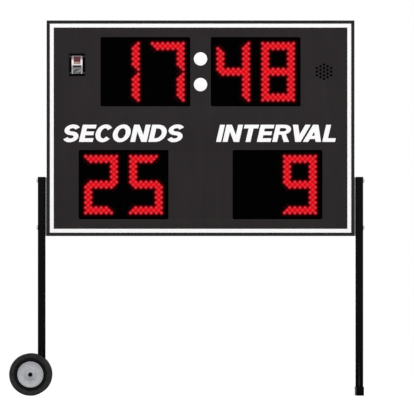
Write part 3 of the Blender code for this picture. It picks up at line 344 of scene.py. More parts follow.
def zinc_plate(name, dark, light, spangle):
    """Zinc plate on steel: cool grey with a passivated mottle."""
    finish, tree, shader = new_finish(name, metallic=1.0)
    place = add(tree, "TexCoord").outputs["Object"]
    cells = add(tree, "TexVoronoi", {"Vector": place, "Scale": 1 / spangle})
    cloud = grains(tree, spangle * 1.5)
    tint = add(tree, "Mix", {"Factor": 0.45, "A": cloud, "B": cells}, data_type="FLOAT")
    greys = add(tree, "ValToRGB", {"Fac": tint}, ((0.2, dark), (0.7, light)))
    plug(shader, {"Base Color": greys})
    textured(tree, shader, cloud, (0.28, 0.5), height=0.03 * MM, strength=0.3)
    return finish


def tyre_rubber():
    """Moulded black rubber: dusty grey on the shoulder, with painted shade making the well beside the
    rim near-black.
    """
    finish, tree, shader = new_finish("moulded_tyre_rubber", 0.08)
    place = add(tree, "TexCoord").outputs["Object"]
    axle = middle_of("front_tyre")
    from_axle = add(tree, "VectorMath", {0: place, 1: axle}, operation="SUBTRACT")
    flat = add(tree, "VectorMath", {0: from_axle, 1: (1, 0, 1)}, operation="MULTIPLY")
    radius = add(tree, "VectorMath", {0: flat}, operation="LENGTH")
    dust = grains(tree, 14 * MM, 4)
    reach = add(tree, "Math", {0: dust, 1: 5 * MM, 2: radius}, operation="MULTIPLY_ADD")
    # Painted shade: inside this radius the well is near-black, outside it the dusty tone shows.
    shaded_well_edge = {"Value": reach, "From Min": 80.5 * MM, "From Max": 86.5 * MM}
    outside = add(tree, "MapRange", shaded_well_edge)
    dusty = add(tree, "ValToRGB", {"Fac": dust}, ((0.35, "222223"), (0.65, "302F2E")))
    tones = {"Factor": outside, "A": linear("0B0B0C"), "B": dusty}
    plug(shader, {"Base Color": add(tree, "Mix", tones, data_type="RGBA")})
    # Mould texture is about 0.5 mm. It is drawn at 3 mm, so that it shows in the render.
    textured(tree, shader, grains(tree, 3 * MM), (0.66, 0.85), height=0.25 * MM, strength=0.5)
    return finish


def scuffed_lid():
    """Grey tinted polycarbonate flap: fine slanting scratches, painted reflection in slanting bands
    below, and painted shade at the hinge and along the lower edge.
    """
    finish, tree, shader = new_finish("grey_polycarbonate_scuffed", 0.25)
    low, high = corners("inlet_lid")
    scratches = grains(tree, 1.1 * MM, stretch=(0.06, 1, 1), slant=SCRATCH_SLANT)
    place = add(tree, "TexCoord").outputs["Object"]
    centred = {0: place, 1: middle_of("inlet_lid")}
    centred = add(tree, "VectorMath", centred, operation="SUBTRACT")
    slanted = add(tree, "Mapping", {"Vector": centred, "Rotation": (0, SCRATCH_SLANT, 0)})
    # The wave bands are painted reflection: light and dark slanting stripes, mixed with the real
    # scratches.
    waves = {"Vector": slanted, "Scale": math.pi / (10 * LID_BAND)}
    waves |= {"Distortion": 1.2, "Detail": 2.0, "Detail Scale": 0.6}
    painted_reflection_bands = add(tree, "TexWave", waves, bands_direction="Z").outputs["Fac"]
    share = add(tree, "Mix", {"Factor": 0.4, "A": painted_reflection_bands, "B": scratches}, data_type="FLOAT")
    greys = ((0.2, "363737"), (0.5, "535554"), (0.8, "848684"))
    streaks = add(tree, "ValToRGB", {"Fac": share}, greys)
    plain = mottled(tree, scratches, ("5C5E5D", "727473"))
    ends = {"Value": height_on(tree), "From Min": low.z - 3 * MM, "From Max": high.z}
    up = add(tree, "MapRange", ends)
    upper = add(tree, "ValToRGB", {"Fac": up}, ((0.6, "000000"), (0.7, "FFFFFF")))
    flap = add(tree, "Mix", {"Factor": upper, "A": streaks, "B": plain}, data_type="RGBA")
    # Painted shade: a little darker along the flap's lower edge, and dark at the hinge.
    shades = ((0.0, "BABABA"), (0.2, "FFFFFF"), (0.88, "FFFFFF"), (0.94, "565656"))
    shade = add(tree, "ValToRGB", {"Fac": up}, shades)
    shaded = {"Factor": 1.0, "A": flap, "B": shade}
    tone = add(tree, "Mix", shaded, data_type="RGBA", blend_type="MULTIPLY")
    plug(shader, {"Base Color": tone})
    textured(tree, shader, scratches, (0.25, 0.5), height=0.03 * MM)
    return finish


def shaded_bezel():
    """White moulded ABS: white beside the key, with painted shade greying it above the key and, in
    blotches, beside the flap.
    """
    finish, tree, shader = new_finish("moulded_abs_white_painted_shade", 0.3)
    low, high = corners("power_module")
    key = (corners("power_rocker")[0].z - low.z) / (high.z - low.z)
    shade_blotches = grains(tree, 7 * MM)
    drift = 5 * MM
    uneven = {0: shade_blotches, 1: drift, 2: height_on(tree)}
    level = add(tree, "Math", uneven, operation="MULTIPLY_ADD")
    ends = {"Value": level, "From Min": low.z + drift / 2, "From Max": high.z + drift / 2}
    up = add(tree, "MapRange", ends)
    # Painted shade: grey below the key and darker grey above it, white only beside the key.
    beside_flap = ((0.0, "B8B7B7"), (key - 0.16, "A3A2A2"))
    beside_key = ((key - 0.04, "E6DEDF"), (0.72, "F2EAEA"))
    above_key = ((0.84, "948A8C"), (0.97, "877C7F"))
    shade_by_height = add(tree, "ValToRGB", {"Fac": up}, (*beside_flap, *beside_key, *above_key))
    # The blotches below the key are painted shade.
    dull = add(tree, "ValToRGB", {"Fac": shade_blotches}, ((0.35, "CFCECE"), (0.6, "FFFFFF")))
    below = {"Value": up, "From Min": key - 0.1, "From Max": key, "To Min": 1.0, "To Max": 0.0}
    tones = {"Factor": add(tree, "MapRange", below), "A": shade_by_height, "B": dull}
    tone = add(tree, "Mix", tones, data_type="RGBA", blend_type="MULTIPLY")
    plug(shader, {"Base Color": tone})
    textured(tree, shader, grains(tree, **ERODED), (0.3, 0.45), ERODED_HEIGHT)
    return finish


def key_with_painted_highlight():
    """ABS rocker key, red round the lens, with an ivory tone below it that is a painted highlight on
    the key's lower part.
    """
    finish, tree, shader = new_finish("moulded_abs_key_painted_highlight", 0.3)
    edge = corners("rocker_lens")[0].z
    above = add(tree, "Math", {0: height_on(tree), 1: edge}, operation="GREATER_THAN")
    cloud = grains(tree, 10 * MM)
    # Painted highlight: the ivory tone below the lens stands for light on the red key's lower part.
    ivory_highlight_tone = mottled(tree, cloud, ("8C7262", "977D6F"))
    red = mottled(tree, cloud, ("4A121F", "571B2A"))
    tone = add(tree, "Mix", {"Factor": above, "A": ivory_highlight_tone, "B": red}, data_type="RGBA")
    plug(shader, {"Base Color": tone})
    textured(tree, shader, grains(tree, **ERODED), (0.3, 0.45), ERODED_HEIGHT)
    return finish


CABINET_COAT = powder_coat("powder_coated_aluminium_black", ("161415", "1A1819"), 0.5, 0.11)
COVER_COAT = powder_coat("fine_texture_powder_coat_black", ("1B1B1B", "1F1F20"), 0.6, 0.22)
STAND_COAT = powder_coat("powder_coated_steel_black", ("060606", "090909"), 0.45, 0.03)
FACE_PAINT = painted_sheet("satin_painted_aluminium_sheet", ("1A1516", "1E191A"))
WHITE_VINYL = cast_vinyl("cast_vinyl_white", ("F3F2F2", "F8F7F7"))
BOARD_MASK = solder_mask("matt_black_solder_mask", ("010101", "020202"), 0.004)
CIRCUIT_MASK = solder_mask("green_solder_mask", ("173F26", "1F4E30"), 0.5)
LENS_LIT = lit_lens()
LENS_DARK = dark_lens()
TINTED_FILM = tinted_film()
BARE_ALUMINIUM = mill_aluminium("mill_finish_extruded_aluminium", ("6C6E70", "828486"))
ZINC = zinc_plate("zinc_plated_steel", "989B9E", "CACDD0", 4 * MM)
# A darker copy of the zinc plate: painted shade for the screws of the switch plate.
SHADED_ZINC = zinc_plate("zinc_plated_steel_painted_shade", "323436", "505254", 2 * MM)
SILVER = ("9B9DA2", "A7A8AC", "B1B1B3")
WHEEL_SILVER = metal_lacquer("silver_lacquer_on_pressed_steel", SILVER)
AXLE_STEEL = drawn_steel("bright_drawn_steel", ("8E9094", "B0B2B6"))
TYRE_RUBBER = tyre_rubber()
CAP_VINYL = moulded("moulded_vinyl_black", ("040404", "070707"), (0.45, 0.6), 0.02)
HORN_ABS = moulded("moulded_abs_black", ("030303", "050505"), (0.55, 0.7), 0.02)
PLATE_ACRYLIC = moulded("black_acrylic_plate", ("010101", "020202"), (0.35, 0.5), 0.015, 30 * MM)
BEZEL_ABS = shaded_bezel()
ROCKER_ABS = key_with_painted_highlight()
ROCKER_LENS = moulded("red_polycarbonate", ("52192A", "632535"), (0.15, 0.3), 0.25, 9 * MM)
LID_POLYCARBONATE = scuffed_lid()
SOCKET_PHENOLIC = moulded("phenolic_black", ("050505", "090909"), (0.4, 0.55), 0.06)
NYLON = moulded("natural_nylon", ("CFCDC4", "DAD8D0"), (0.45, 0.6), 0.5)

# Meshes


def settled(obj):
    """The plain mesh that an object's curve or modifiers give. The object goes away."""
    if obj.name not in bpy.context.scene.collection.objects:
        bpy.context.scene.collection.objects.link(obj)
    graph = bpy.context.evaluated_depsgraph_get()
    mesh = bpy.data.meshes.new_from_object(obj.evaluated_get(graph))
    bpy.data.objects.remove(obj)
    return mesh


def merged(mesh, dissolve=False):
    """The mesh with doubled points merged, faces turned outwards and round faces smooth."""
    shape = bmesh.new()
    shape.from_mesh(mesh)
    bmesh.ops.remove_doubles(shape, verts=shape.verts, dist=1e-6)
    if dissolve:
        flat = math.radians(0.5)
        bmesh.ops.dissolve_limit(shape, angle_limit=flat, verts=shape.verts, edges=shape.edges)
    bmesh.ops.recalc_face_normals(shape, faces=shape.faces)
    shape.to_mesh(mesh)
    shape.free()
    mesh.shade_smooth()
    mesh.set_sharp_from_angle(angle=math.radians(32))
    return mesh


def piece(name, mesh, finish, body="stand", stands_for=()):
    """A finished piece: on its body, with its finish, in place of these nodes."""
    obj = bpy.data.objects.new(name, mesh)
    bpy.context.scene.collection.objects.link(obj)
    mesh.name = name
    mesh.materials.clear()
    mesh.materials.append(finish)
    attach(obj, body)
    if stands_for:
        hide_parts(*stands_for)


def points_mesh(name, places, edges=(), faces=()):
    mesh = bpy.data.meshes.new(name)
    mesh.from_pydata([tuple(place) for place in places], list(edges), list(faces))
    return mesh


def flat_shape(name, loops, thickness, edge=0.0):
    """A plate in the XY plane. Loops after the first are holes in it, or further islands."""
    curve = bpy.data.curves.new(name, "CURVE")
    curve.dimensions = "2D"
    curve.fill_mode = "BOTH"
    curve.extrude = thickness / 2 - edge
    curve.bevel_depth = edge
    curve.offset = -edge
    for loop in loops:
        spline = curve.splines.new("POLY")
        spline.points.add(len(loop) - 1)
        spline.use_cyclic_u = True
        for point, (x, y) in zip(spline.points, loop):
            point.co = (x, y, 0, 1)
    return settled(bpy.data.objects.new(name, curve))


def facing_front(mesh, centre):
    """Stands an XY shape up, to look along -Y, in its place."""
    mesh.transform(Matrix.Translation(centre) @ Matrix.Rotation(math.pi / 2, 4, "X"))
    return merged(mesh)


def arc(centre, radii, start, end, steps):
    """Points on an elliptic arc, both ends included, with angles in degrees."""
    angles = [math.radians(start + (end - start) * i / steps) for i in range(steps + 1)]
    (x, y), (across, up) = centre, radii
    return [(x + across * math.cos(a), y + up * math.sin(a)) for a in angles]


def circle(centre, radius, steps):
    return arc(centre, (radius, radius), 0, 360, steps)[:-1]


def rounded_rectangle(width, height, radius, centre=(0, 0), steps=8):
    x, y = centre
    across = width / 2 - radius
    up = height / 2 - radius
    points = []
    for quarter, (a, b) in enumerate(((1, 1), (-1, 1), (-1, -1), (1, -1))):
        corner = (x + a * across, y + b * up)
        points += arc(corner, (radius, radius), 90 * quarter, 90 * quarter + 90, steps)
    return points


def turned(name, profile, steps, place, closed=True):
    """A profile of (radius, height) points turned round Z, then put in place."""
    count = len(profile)
    edges = [(i, (i + 1) % count) for i in range(count if closed else count - 1)]
    mesh = points_mesh(name, [(radius, 0, height) for radius, height in profile], edges)
    obj = bpy.data.objects.new(name, mesh)
    screw = obj.modifiers.new("Turn", "SCREW")
    screw.steps = screw.render_steps = steps
    screw.use_merge_vertices = True
    screw.merge_threshold = 1e-5
    mesh = settled(obj)
    mesh.transform(place)
    return merged(mesh)


def cad_copy(node):
    return merged(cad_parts[node].data.copy(), dissolve=True)


def rounded(mesh, edge, segments=2):
    """The mesh with its sharp edges rounded, and its large faces shaded flat."""
    sharp = mesh.attributes.get("sharp_edge")
    if sharp:
        mesh.attributes.remove(sharp)
    obj = bpy.data.objects.new("rounded", mesh)
    bevel = obj.modifiers.new("Edges", "BEVEL")
    bevel.width = edge
    bevel.segments = segments
    bevel.limit_method = "ANGLE"
    bevel.angle_limit = math.radians(25)
    level = obj.modifiers.new("Flat faces", "WEIGHTED_NORMAL")
    level.mode = "FACE_AREA"
    level.weight = 95
    return settled(obj)


def softened(node, edge, finish, body="stand", mesh=None):
    """A CAD node, or a mesh made from it, with rounded edges and in the node's place."""
    mesh = rounded(mesh or cad_copy(node), edge)
    piece(f"{node}_finished", mesh, finish, body, (node,))


# Geometry Nodes


def node_tree(name, sockets):
    """A Geometry Nodes tree with these named inputs and a finish, and their sockets in it."""
    tree = bpy.data.node_groups.new(name, "GeometryNodeTree")
    for label, kind in {"Geometry": "Geometry", **sockets, "Finish": "Material"}.items():
        tree.interface.new_socket(label, in_out="INPUT", socket_type=f"NodeSocket{kind}")
    tree.interface.new_socket("Geometry", in_out="OUTPUT", socket_type="NodeSocketGeometry")
    return tree, add(tree, "NodeGroupInput").outputs


def sized(tree, shape, radius, height):
    """A shape that is 1 in radius and height, brought to these."""
    scale = add(tree, "CombineXYZ", {"X": radius, "Y": radius, "Z": height})
    return add(tree, "GeometryNodeTransform", {"Geometry": shape, "Scale": scale})


def on_points(tree, given, instances):
    """The tree, ended: its instances on points, made real and given their finish."""
    made = add(tree, "GeometryNodeInstanceOnPoints", {"Points": given["Geometry"], **instances})
    made = add(tree, "GeometryNodeRealizeInstances", {"Geometry": made})
    made = add(tree, "GeometryNodeSetMaterial", {"Geometry": made, "Material": given["Finish"]})
    add(tree, "NodeGroupOutput", {"Geometry": made})
    return tree


def grown(name, tree, start, values):
    """The plain mesh that a tree makes from a starting mesh."""
    obj = bpy.data.objects.new(name, start)
    modifier = obj.modifiers.new("Nodes", "NODES")
    modifier.node_group = tree
    for item in tree.interface.items_tree:
        if item.in_out == "INPUT" and item.name in values:
            modifier[item.identifier] = values[item.name]
    return settled(obj)


def marked(mesh, label, values):
    """The mesh, with one number for each of its points under this label."""
    mesh.attributes.new(label, "FLOAT", "POINT").data.foreach_set("value", values)
    return mesh


def led_tree():
    """Domed LED lenses on points, facing -Y, flat where they meet the board."""
    tree, given = node_tree("led_lenses", {"Lens Radius": "Float", "Lens Height": "Float"})
    ball = add(tree, "GeometryNodeMeshUVSphere", {"Segments": 14, "Rings": 8, "Radius": 1.0})
    spot = add(tree, "SeparateXYZ", {0: add(tree, "GeometryNodeInputPosition")}).outputs
    level = {"X": spot["X"], "Y": spot["Y"]}
    flat = add(tree, "CombineXYZ", level)
    reach = add(tree, "VectorMath", {0: flat}, operation="LENGTH")
    label = {"Geometry": ball, "Name": "from_axis", "Value": reach}
    dome = add(tree, "GeometryNodeStoreNamedAttribute", label, data_type="FLOAT", domain="POINT")
    raised = add(tree, "Math", {0: spot["Z"], 1: 0.0}, operation="MAXIMUM")
    shaped = add(tree, "CombineXYZ", {**level, "Z": raised})
    dome = add(tree, "GeometryNodeSetPosition", {"Geometry": dome, "Position": shaped})
    dome = sized(tree, dome, given["Lens Radius"], given["Lens Height"])
    dome = add(tree, "GeometryNodeSetShadeSmooth", {"Geometry": dome})
    return on_points(tree, given, {"Instance": dome, "Rotation": (math.pi / 2, 0, 0)})


def screw_tree():
    """Copies of a screw head on points, turned at random about their own axes."""
    sizes = {"Head Radius": "Float", "Head Height": "Float", "Facing": "Vector", "Seed": "Int"}
    tree, given = node_tree("screw_heads", {"Head": "Object", **sizes})
    head = add(tree, "GeometryNodeObjectInfo", {"Object": given["Head"]}).outputs["Geometry"]
    head = sized(tree, head, given["Head Radius"], given["Head Height"])
    angles = {"Min": 0.0, "Max": math.pi, "Seed": given["Seed"]}
    spin = add(tree, "FunctionNodeRandomValue", angles, data_type="FLOAT")
    about = add(tree, "FunctionNodeAxisAngleToRotation", {"Axis": (0, 0, 1), "Angle": spin})
    facing = add(tree, "FunctionNodeEulerToRotation", {0: given["Facing"]})
    turns = {"Rotation": facing, "Rotate By": about}
    turn = add(tree, "FunctionNodeRotateRotation", turns, rotation_space="LOCAL")
    return on_points(tree, given, {"Instance": head, "Rotation": turn})


def weld_tree():
    """A weld bead along edges: drops that overlap, no two quite of one size."""
    sizes = {"Drop Radius": "Float", "Drop Pitch": "Float", "Seed": "Int"}
    tree, given = node_tree("weld_bead", sizes)
    path = add(tree, "GeometryNodeMeshToCurve", {"Mesh": given["Geometry"]})
    pitch = {"Curve": path, "Length": given["Drop Pitch"]}
    path = add(tree, "GeometryNodeResampleCurve", pitch, mode="LENGTH")
    ball = {"Segments": 8, "Rings": 6, "Radius": given["Drop Radius"]}
    drop = add(tree, "GeometryNodeMeshUVSphere", ball)
    drop = add(tree, "GeometryNodeSetShadeSmooth", {"Geometry": drop})
    spread = {"Min": 0.8, "Max": 1.1, "Seed": given["Seed"]}
    size = add(tree, "FunctionNodeRandomValue", spread, data_type="FLOAT")
    return on_points(tree, given, {"Points": path, "Instance": drop, "Scale": size})


def rib_tree():
    """Ribs that stand round Z in a ring, each a rounded bar along its radius."""
    sizes = {"Ring Radius": "Float", "Count": "Int", "Rib Size": "Vector", "Rise": "Float"}
    tree, given = node_tree("ring_of_ribs", sizes)
    count = given["Count"]
    ring = add(tree, "GeometryNodeMeshCircle", {"Vertices": count, "Radius": given["Ring Radius"]})
    lift = add(tree, "CombineXYZ", {"Z": given["Rise"]})
    ring = add(tree, "GeometryNodeTransform", {"Geometry": ring, "Translation": lift})
    step = add(tree, "Math", {0: 2 * math.pi, 1: count}, operation="DIVIDE")
    number = add(tree, "GeometryNodeInputIndex")
    angle = add(tree, "Math", {0: step, 1: number}, operation="MULTIPLY")
    facing = add(tree, "CombineXYZ", {"Z": angle})
    bar = add(tree, "GeometryNodeMeshUVSphere", {"Segments": 12, "Rings": 8, "Radius": 0.5})
    bar = add(tree, "GeometryNodeTransform", {"Geometry": bar, "Scale": given["Rib Size"]})
    bar = add(tree, "GeometryNodeSetShadeSmooth", {"Geometry": bar})
    return on_points(tree, given, {"Points": ring, "Instance": bar, "Rotation": facing})


# Digits. A lens stands at (x, y) in half pitches: even pairs lie on the rows and columns, odd pairs
# in the middle of the squares, and y counts down from the top row.


def lens_run(start, end, level, upright=False):
    return {(level, p) if upright else (p, level) for p in range(start, end + 1, 2)}


def lens_bar(start, end, level, inward, upright=False):
    """A segment of three lines of lenses, each one half a pitch shorter at both ends."""
    lines = [lens_run(start + n, end - n, level + n * inward, upright) for n in range(3)]
    return set().union(*lines)


def segment_lenses():
    right = 2 * (LED_COLUMNS - 1)
    foot = 2 * (LED_ROWS - 1)
    above = foot // 2 - 1
    below = foot // 2 + 1
    middle = lens_run(2, right - 2, above) | lens_run(2, right - 2, below)
    return {
        "a": lens_bar(0, right - 2, 0, 1),
        "b": lens_bar(0, above, right, -1, upright=True),
        "c": lens_bar(below, foot, right, -1, upright=True),
        "d": lens_bar(0, right - 2, foot, -1),
        "e": lens_bar(below, foot - 2, 0, 1, upright=True),
        "f": lens_bar(2, above, 0, 1, upright=True),
        "g": middle | lens_run(1, right - 1, foot // 2),
    }


def lit_lenses(figure):
    segments = segment_lenses()
    return set().union(*(segments[key] for key in LIT_SEGMENTS[figure]))


def lens_company(lens, lit):
    """The share of a lens's four nearest neighbours that are lit."""
    x, y = lens
    neighbours = [(x + across, y + down) for across in (1, -1) for down in (1, -1)]
    return sum(neighbour in lit for neighbour in neighbours) / len(neighbours)


def lens_place(lens):
    """Where a lens stands from the middle of its digit, in metres across and up."""
    x, y = lens
    half = LED_PITCH / 2
    return (x - (LED_COLUMNS - 1)) * half, ((LED_ROWS - 1) - y) * half


def film(name, middles, level, figures):
    """The film over a board: for each digit a sheet that carries how much light spills onto it."""
    step = LED_PITCH / 4
    across = 2 * (LED_COLUMNS + 1)
    up = 2 * (LED_ROWS + 1)
    points = []
    faces = []
    spill = []
    for middle, figure in zip(middles, figures):
        lit = [lens_place(lens) for lens in lit_lenses(figure)]
        for row in range(-up, up + 1):
            for column in range(-across, across + 1):
                x = column * step
                z = row * step
                near = (math.hypot(x - a, z - b) / SPILL_REACH for a, b in lit)
                spill.append(min(1.0, sum(math.exp(-n * n) for n in near if n < 3)))
                if column > -across and row > -up:
                    here = len(points)
                    below = here - (2 * across + 1)
                    faces.append((below - 1, below, here, here - 1))
                points.append((middle.x + x, level, middle.z + z))
    sheet = marked(points_mesh(name, points, faces=faces), "spill", spill)
    obj = bpy.data.objects.new(name, sheet)
    wall = obj.modifiers.new("Thickness", "SOLIDIFY")
    wall.thickness = FILM_THICKNESS
    wall.offset = -1
    piece(name, settled(obj), TINTED_FILM)


def digit_board(node, figures, leds):
    """A board with its lit and dark lenses and its film, in place of the CAD board."""
    low, high = corners(node)
    centre = (low + high) / 2
    front = low.y + LENS_HEIGHT
    size = high - low
    plate = flat_shape(node, [rounded_rectangle(size.x, size.z, 2 * MM)], high.y - front, 0.2 * MM)
    facing_front(plate, (centre.x, (front + high.y) / 2, centre.z))
    piece(f"{node}_plate", plate, BOARD_MASK, stands_for=(node,))

    middles = [centre + Vector((side * DIGIT_PITCH / 2, 0, 0)) for side in (-1, 1)]
    film(f"{node}_film", middles, front - FILM_STANDOFF - FILM_THICKNESS, figures)
    places = {True: [], False: []}
    company = {True: [], False: []}
    for middle, figure in zip(middles, figures):
        lit = lit_lenses(figure)
        for lens in sorted(set().union(*segment_lenses().values())):
            across, up = lens_place(lens)
            places[lens in lit].append((middle.x + across, front, middle.z + up))
            company[lens in lit].append(lens_company(lens, lit))
    for shines, state, finish in ((True, "lit", LENS_LIT), (False, "dark", LENS_DARK)):
        name = f"{node}_{state}_lenses"
        sizes = {"Lens Radius": LENS_RADIUS, "Lens Height": LENS_HEIGHT, "Finish": finish}
        start = marked(points_mesh(name, places[shines]), "company", company[shines])
        piece(name, grown(name, leds, start, sizes), finish)


# Lettering: heavy upright strokes, slanted as a whole. Sizes are shares of the letters' height.

STEM = 0.285
ARM = 0.215
SLOPE = 0.31  # width of a slanting stroke
LETTER_GAP = 0.095
ROUND_REACH = 0.515  # of a round letter from its middle, a little past the lines of the others


def pen_stroke(path):
    """The outline of a stroke along a path, wide where it runs upright and thinner where level."""
    sides = ([], [])
    for number, point in enumerate(path):
        before = Vector(path[max(number - 1, 0)])
        after = Vector(path[min(number + 1, len(path) - 1)])
        along = (after - before).normalized()
        offset = Vector((-along.y * STEM / 2, along.x * ARM / 2))
        sides[0].append(tuple(Vector(point) + offset))
        sides[1].append(tuple(Vector(point) - offset))
    return sides[0] + sides[1][::-1]


def letter_a(width):
    middle = width / 2
    lean = middle - SLOPE / 2
    bar_low = 0.17
    bar_high = 0.36

    def inner(height):
        return SLOPE + lean * height

    outer = [(0, 0), (lean, 1), (lean + SLOPE, 1), (width, 0), (width - SLOPE, 0)]
    outer += [(width - inner(bar_low), bar_low), (inner(bar_low), bar_low), (SLOPE, 0)]
    peak = 1 - SLOPE / 2 / lean
    hole = [(inner(bar_high), bar_high), (width - inner(bar_high), bar_high), (middle, peak)]
    return [outer, hole]


def letter_c(width):
    radii = ((width - STEM) / 2, ROUND_REACH - ARM / 2)
    return [pen_stroke(arc((width / 2, 0.5), radii, 38, 322, 36))]


def letter_d(width):
    straight = width * 0.4
    outer = [(0, 0), *arc((straight, 0.5), (width - straight, 0.5), -90, 90, 24), (0, 1)]
    reach = (width - straight - STEM, 0.5 - ARM)
    inner = [(STEM, ARM), *arc((straight, 0.5), reach, -90, 90, 24), (STEM, 1 - ARM)]
    return [outer, inner]


def letter_e(width):
    short = width * 0.94
    arms = ((0, ARM, width), (0.5 - ARM / 2, 0.5 + ARM / 2, short), (1 - ARM, 1, width))
    points = []
    for low, high, reach in arms:
        points += [(STEM, low), (reach, low), (reach, high), (STEM, high)]
    return [[(0, 0), *points[1:-1], (0, 1)]]


def letter_i(width):
    return [[(0, 0), (width, 0), (width, 1), (0, 1)]]


def letter_l(width):
    return [[(0, 0), (width, 0), (width, ARM), (STEM, ARM), (STEM, 1), (0, 1)]]


def letter_n(width):
    left = [(0, 0), (0, 1), (STEM * 1.1, 1), (width - STEM, 0.4), (width - STEM, 1)]
    return [left + [(width - x, 1 - y) for x, y in left]]


def letter_o(width):
    middle = width / 2
    outer = arc((middle, 0.5), (middle, ROUND_REACH), 0, 360, 40)[:-1]
    inner = arc((middle, 0.5), (middle - STEM, ROUND_REACH - ARM), 0, 360, 40)[:-1]
    return [outer, inner]


def letter_r(width):
    waist = 0.42
    bowl = (1 - waist) / 2
    start = width / 2
    reach = width - start - 0.02
    foot = width + 0.03
    bowl_arm = 0.19
    outer = [(0, 0), (0, 1), *arc((start, waist + bowl), (reach, bowl), 90, -62, 18)]
    outer += [(foot, 0), (foot - SLOPE, 0), (start - 0.03, waist), (STEM, waist), (STEM, 0)]
    inside = (reach - STEM + 0.02, bowl - bowl_arm)
    hole = arc((start, waist + bowl), inside, -90, 90, 12)
    return [outer, [(STEM, waist + bowl_arm), *hole, (STEM, 1 - bowl_arm)]]


def letter_s(width):
    reach = (width - STEM) / 2
    rise = (ROUND_REACH - ARM / 2) / 2
    upper = arc((width / 2, 0.5 + rise), (reach, rise), 22, 250, 22)
    lower = arc((width / 2, 0.5 - rise), (reach, rise), 70, -158, 22)
    return [pen_stroke(upper + lower)]


def letter_t(width):
    left = (width - STEM) / 2
    right = left + STEM
    stem = [(right, 1 - ARM), (right, 0), (left, 0), (left, 1 - ARM)]
    return [[(0, 1 - ARM), (0, 1), (width, 1), (width, 1 - ARM), *stem]]


def letter_v(width):
    middle = width / 2
    lean = middle - SLOPE / 2
    notch = (middle, SLOPE / 2 / lean)
    foot = [(middle + SLOPE / 2, 0), (middle - SLOPE / 2, 0)]
    return [[(0, 1), (SLOPE, 1), notch, (width - SLOPE, 1), (width, 1), *foot]]


LETTERS = {
    "A": (letter_a, 1.06),
    "C": (letter_c, 0.98),
    "D": (letter_d, 0.95),
    "E": (letter_e, 0.8),
    "I": (letter_i, STEM),
    "L": (letter_l, 0.74),
    "N": (letter_n, 0.96),
    "O": (letter_o, 1.02),
    "R": (letter_r, 0.95),
    "S": (letter_s, 0.9),
    "T": (letter_t, 0.84),
    "V": (letter_v, 1.04),
}
CLOSER_PAIRS = {"EC": 0.03, "CO": 0.07, "DS": 0.02, "RV": 0.07, "VA": 0.33, "AL": 0.02}


def word_outlines(word):
    """The outlines of a word's letters in a row, and the row's width."""
    loops = []
    pen = 0
    for before, figure in zip(f" {word}", word):
        pen -= CLOSER_PAIRS.get(before + figure, 0)
        outlines, width = LETTERS[figure]
        loops += [[(x + pen, y) for x, y in loop] for loop in outlines(width)]
        pen += width + LETTER_GAP
    return loops, pen - LETTER_GAP


def caption(word, node):
    """A word in white vinyl above a window, in the middle band of the face."""
    loops, width = word_outlines(word)

    def slanted(x, y):
        across = x - width / 2 + CAPTION_SLANT * (y - 0.5)
        return across * CAPTION_HEIGHT, (y - 0.5) * CAPTION_HEIGHT

    loops = [[slanted(x, y) for x, y in loop] for loop in loops]
    mesh = flat_shape(word.lower(), loops, CAPTION_THICKNESS)
    front = corners("face_panel")[0].y - CAPTION_THICKNESS / 2
    height = middle_of("face_panel").z - CAPTION_DROP
    facing_front(mesh, (middle_of(node).x, front, height))
    piece(f"caption_{word.lower()}", mesh, WHITE_VINYL)


# Face


def face_sheet():
    """The face with round grille holes and rounded windows, in place of the CAD panel."""
    low, high = corners("face_panel")
    centre = (low + high) / 2

    def outline(start, end, margin, corner, steps):
        size = end - start + Vector((1, 1, 1)) * 2 * margin
        middle = (start + end) / 2 - centre
        return rounded_rectangle(size.x, size.z, corner, (middle.x, middle.z), steps)

    loops = [outline(low, high, 0, 1 * MM, 2)]
    for node in DISPLAYS:
        loops.append(outline(*corners(node), -BOARD_BORDER, WINDOW_CORNER, 8))
    horn = middle_of("horn") - centre
    for column, count in enumerate(GRILLE_COLUMNS):
        x = horn.x + (column - (len(GRILLE_COLUMNS) - 1) / 2) * GRILLE_COLUMN_PITCH
        for row in range(count):
            z = horn.z + (row - (count - 1) / 2) * GRILLE_ROW_PITCH
            loops.append(circle((x, z), GRILLE_HOLE / 2, 20))
    reach_low, reach_high = corners("inlet_socket")
    reach_high.z = corners("power_rocker")[1].z
    loops.append(outline(reach_low, reach_high, MODULE_MARGIN, 1 * MM, 2))
    mesh = flat_shape("face_sheet", loops, high.y - low.y, 0.3 * MM)
    facing_front(mesh, centre)
    piece("face_sheet", mesh, FACE_PAINT, stands_for=("face_panel",))


def colon_discs():
    for node in ("upper_colon_disc", "lower_colon_disc"):
        low, high = corners(node)
        mesh = flat_shape(node, [circle((0, 0), (high.x - low.x) / 2, 64)], high.y - low.y, 0.1 * MM)
        facing_front(mesh, (low + high) / 2)
        piece(f"{node}_film", mesh, WHITE_VINYL, stands_for=(node,))


# Wheels. Their profiles are in millimetres: radius, then height from the wheel's middle plane.


def both_sides(half):
    """A profile from its outer half, in millimetres, and that half's mirror image."""
    return [(r * MM, z * MM) for r, z in [*half, *((r, -z) for r, z in reversed(half))]]


def tyre_profile(rim, radius, side):
    bead_and_well = [(rim + 0.3, 15), (rim + 4, 17.5), (rim + 5, 15.5), (rim + 9, 15.5)]
    shoulder = [(81.2, side - 5.5), (82.2, side - 2), (84.5, side - 0.6), (88, side)]
    fine_groove = [(93, side), (93.8, side - 0.8), (94.6, side - 0.8)]
    crown = arc((radius - 8, side - 8), (8, 8), 80, 0, 8)
    tread_groove = [(radius, 9.6), (radius - 2, 9), (radius - 2, 7.4), (radius, 6.8)]
    middle_groove = [(radius, 3), (radius - 2.8, 2)]
    half = [*bead_and_well, *shoulder, *fine_groove, *crown, *tread_groove, *middle_groove]
    return both_sides(half)


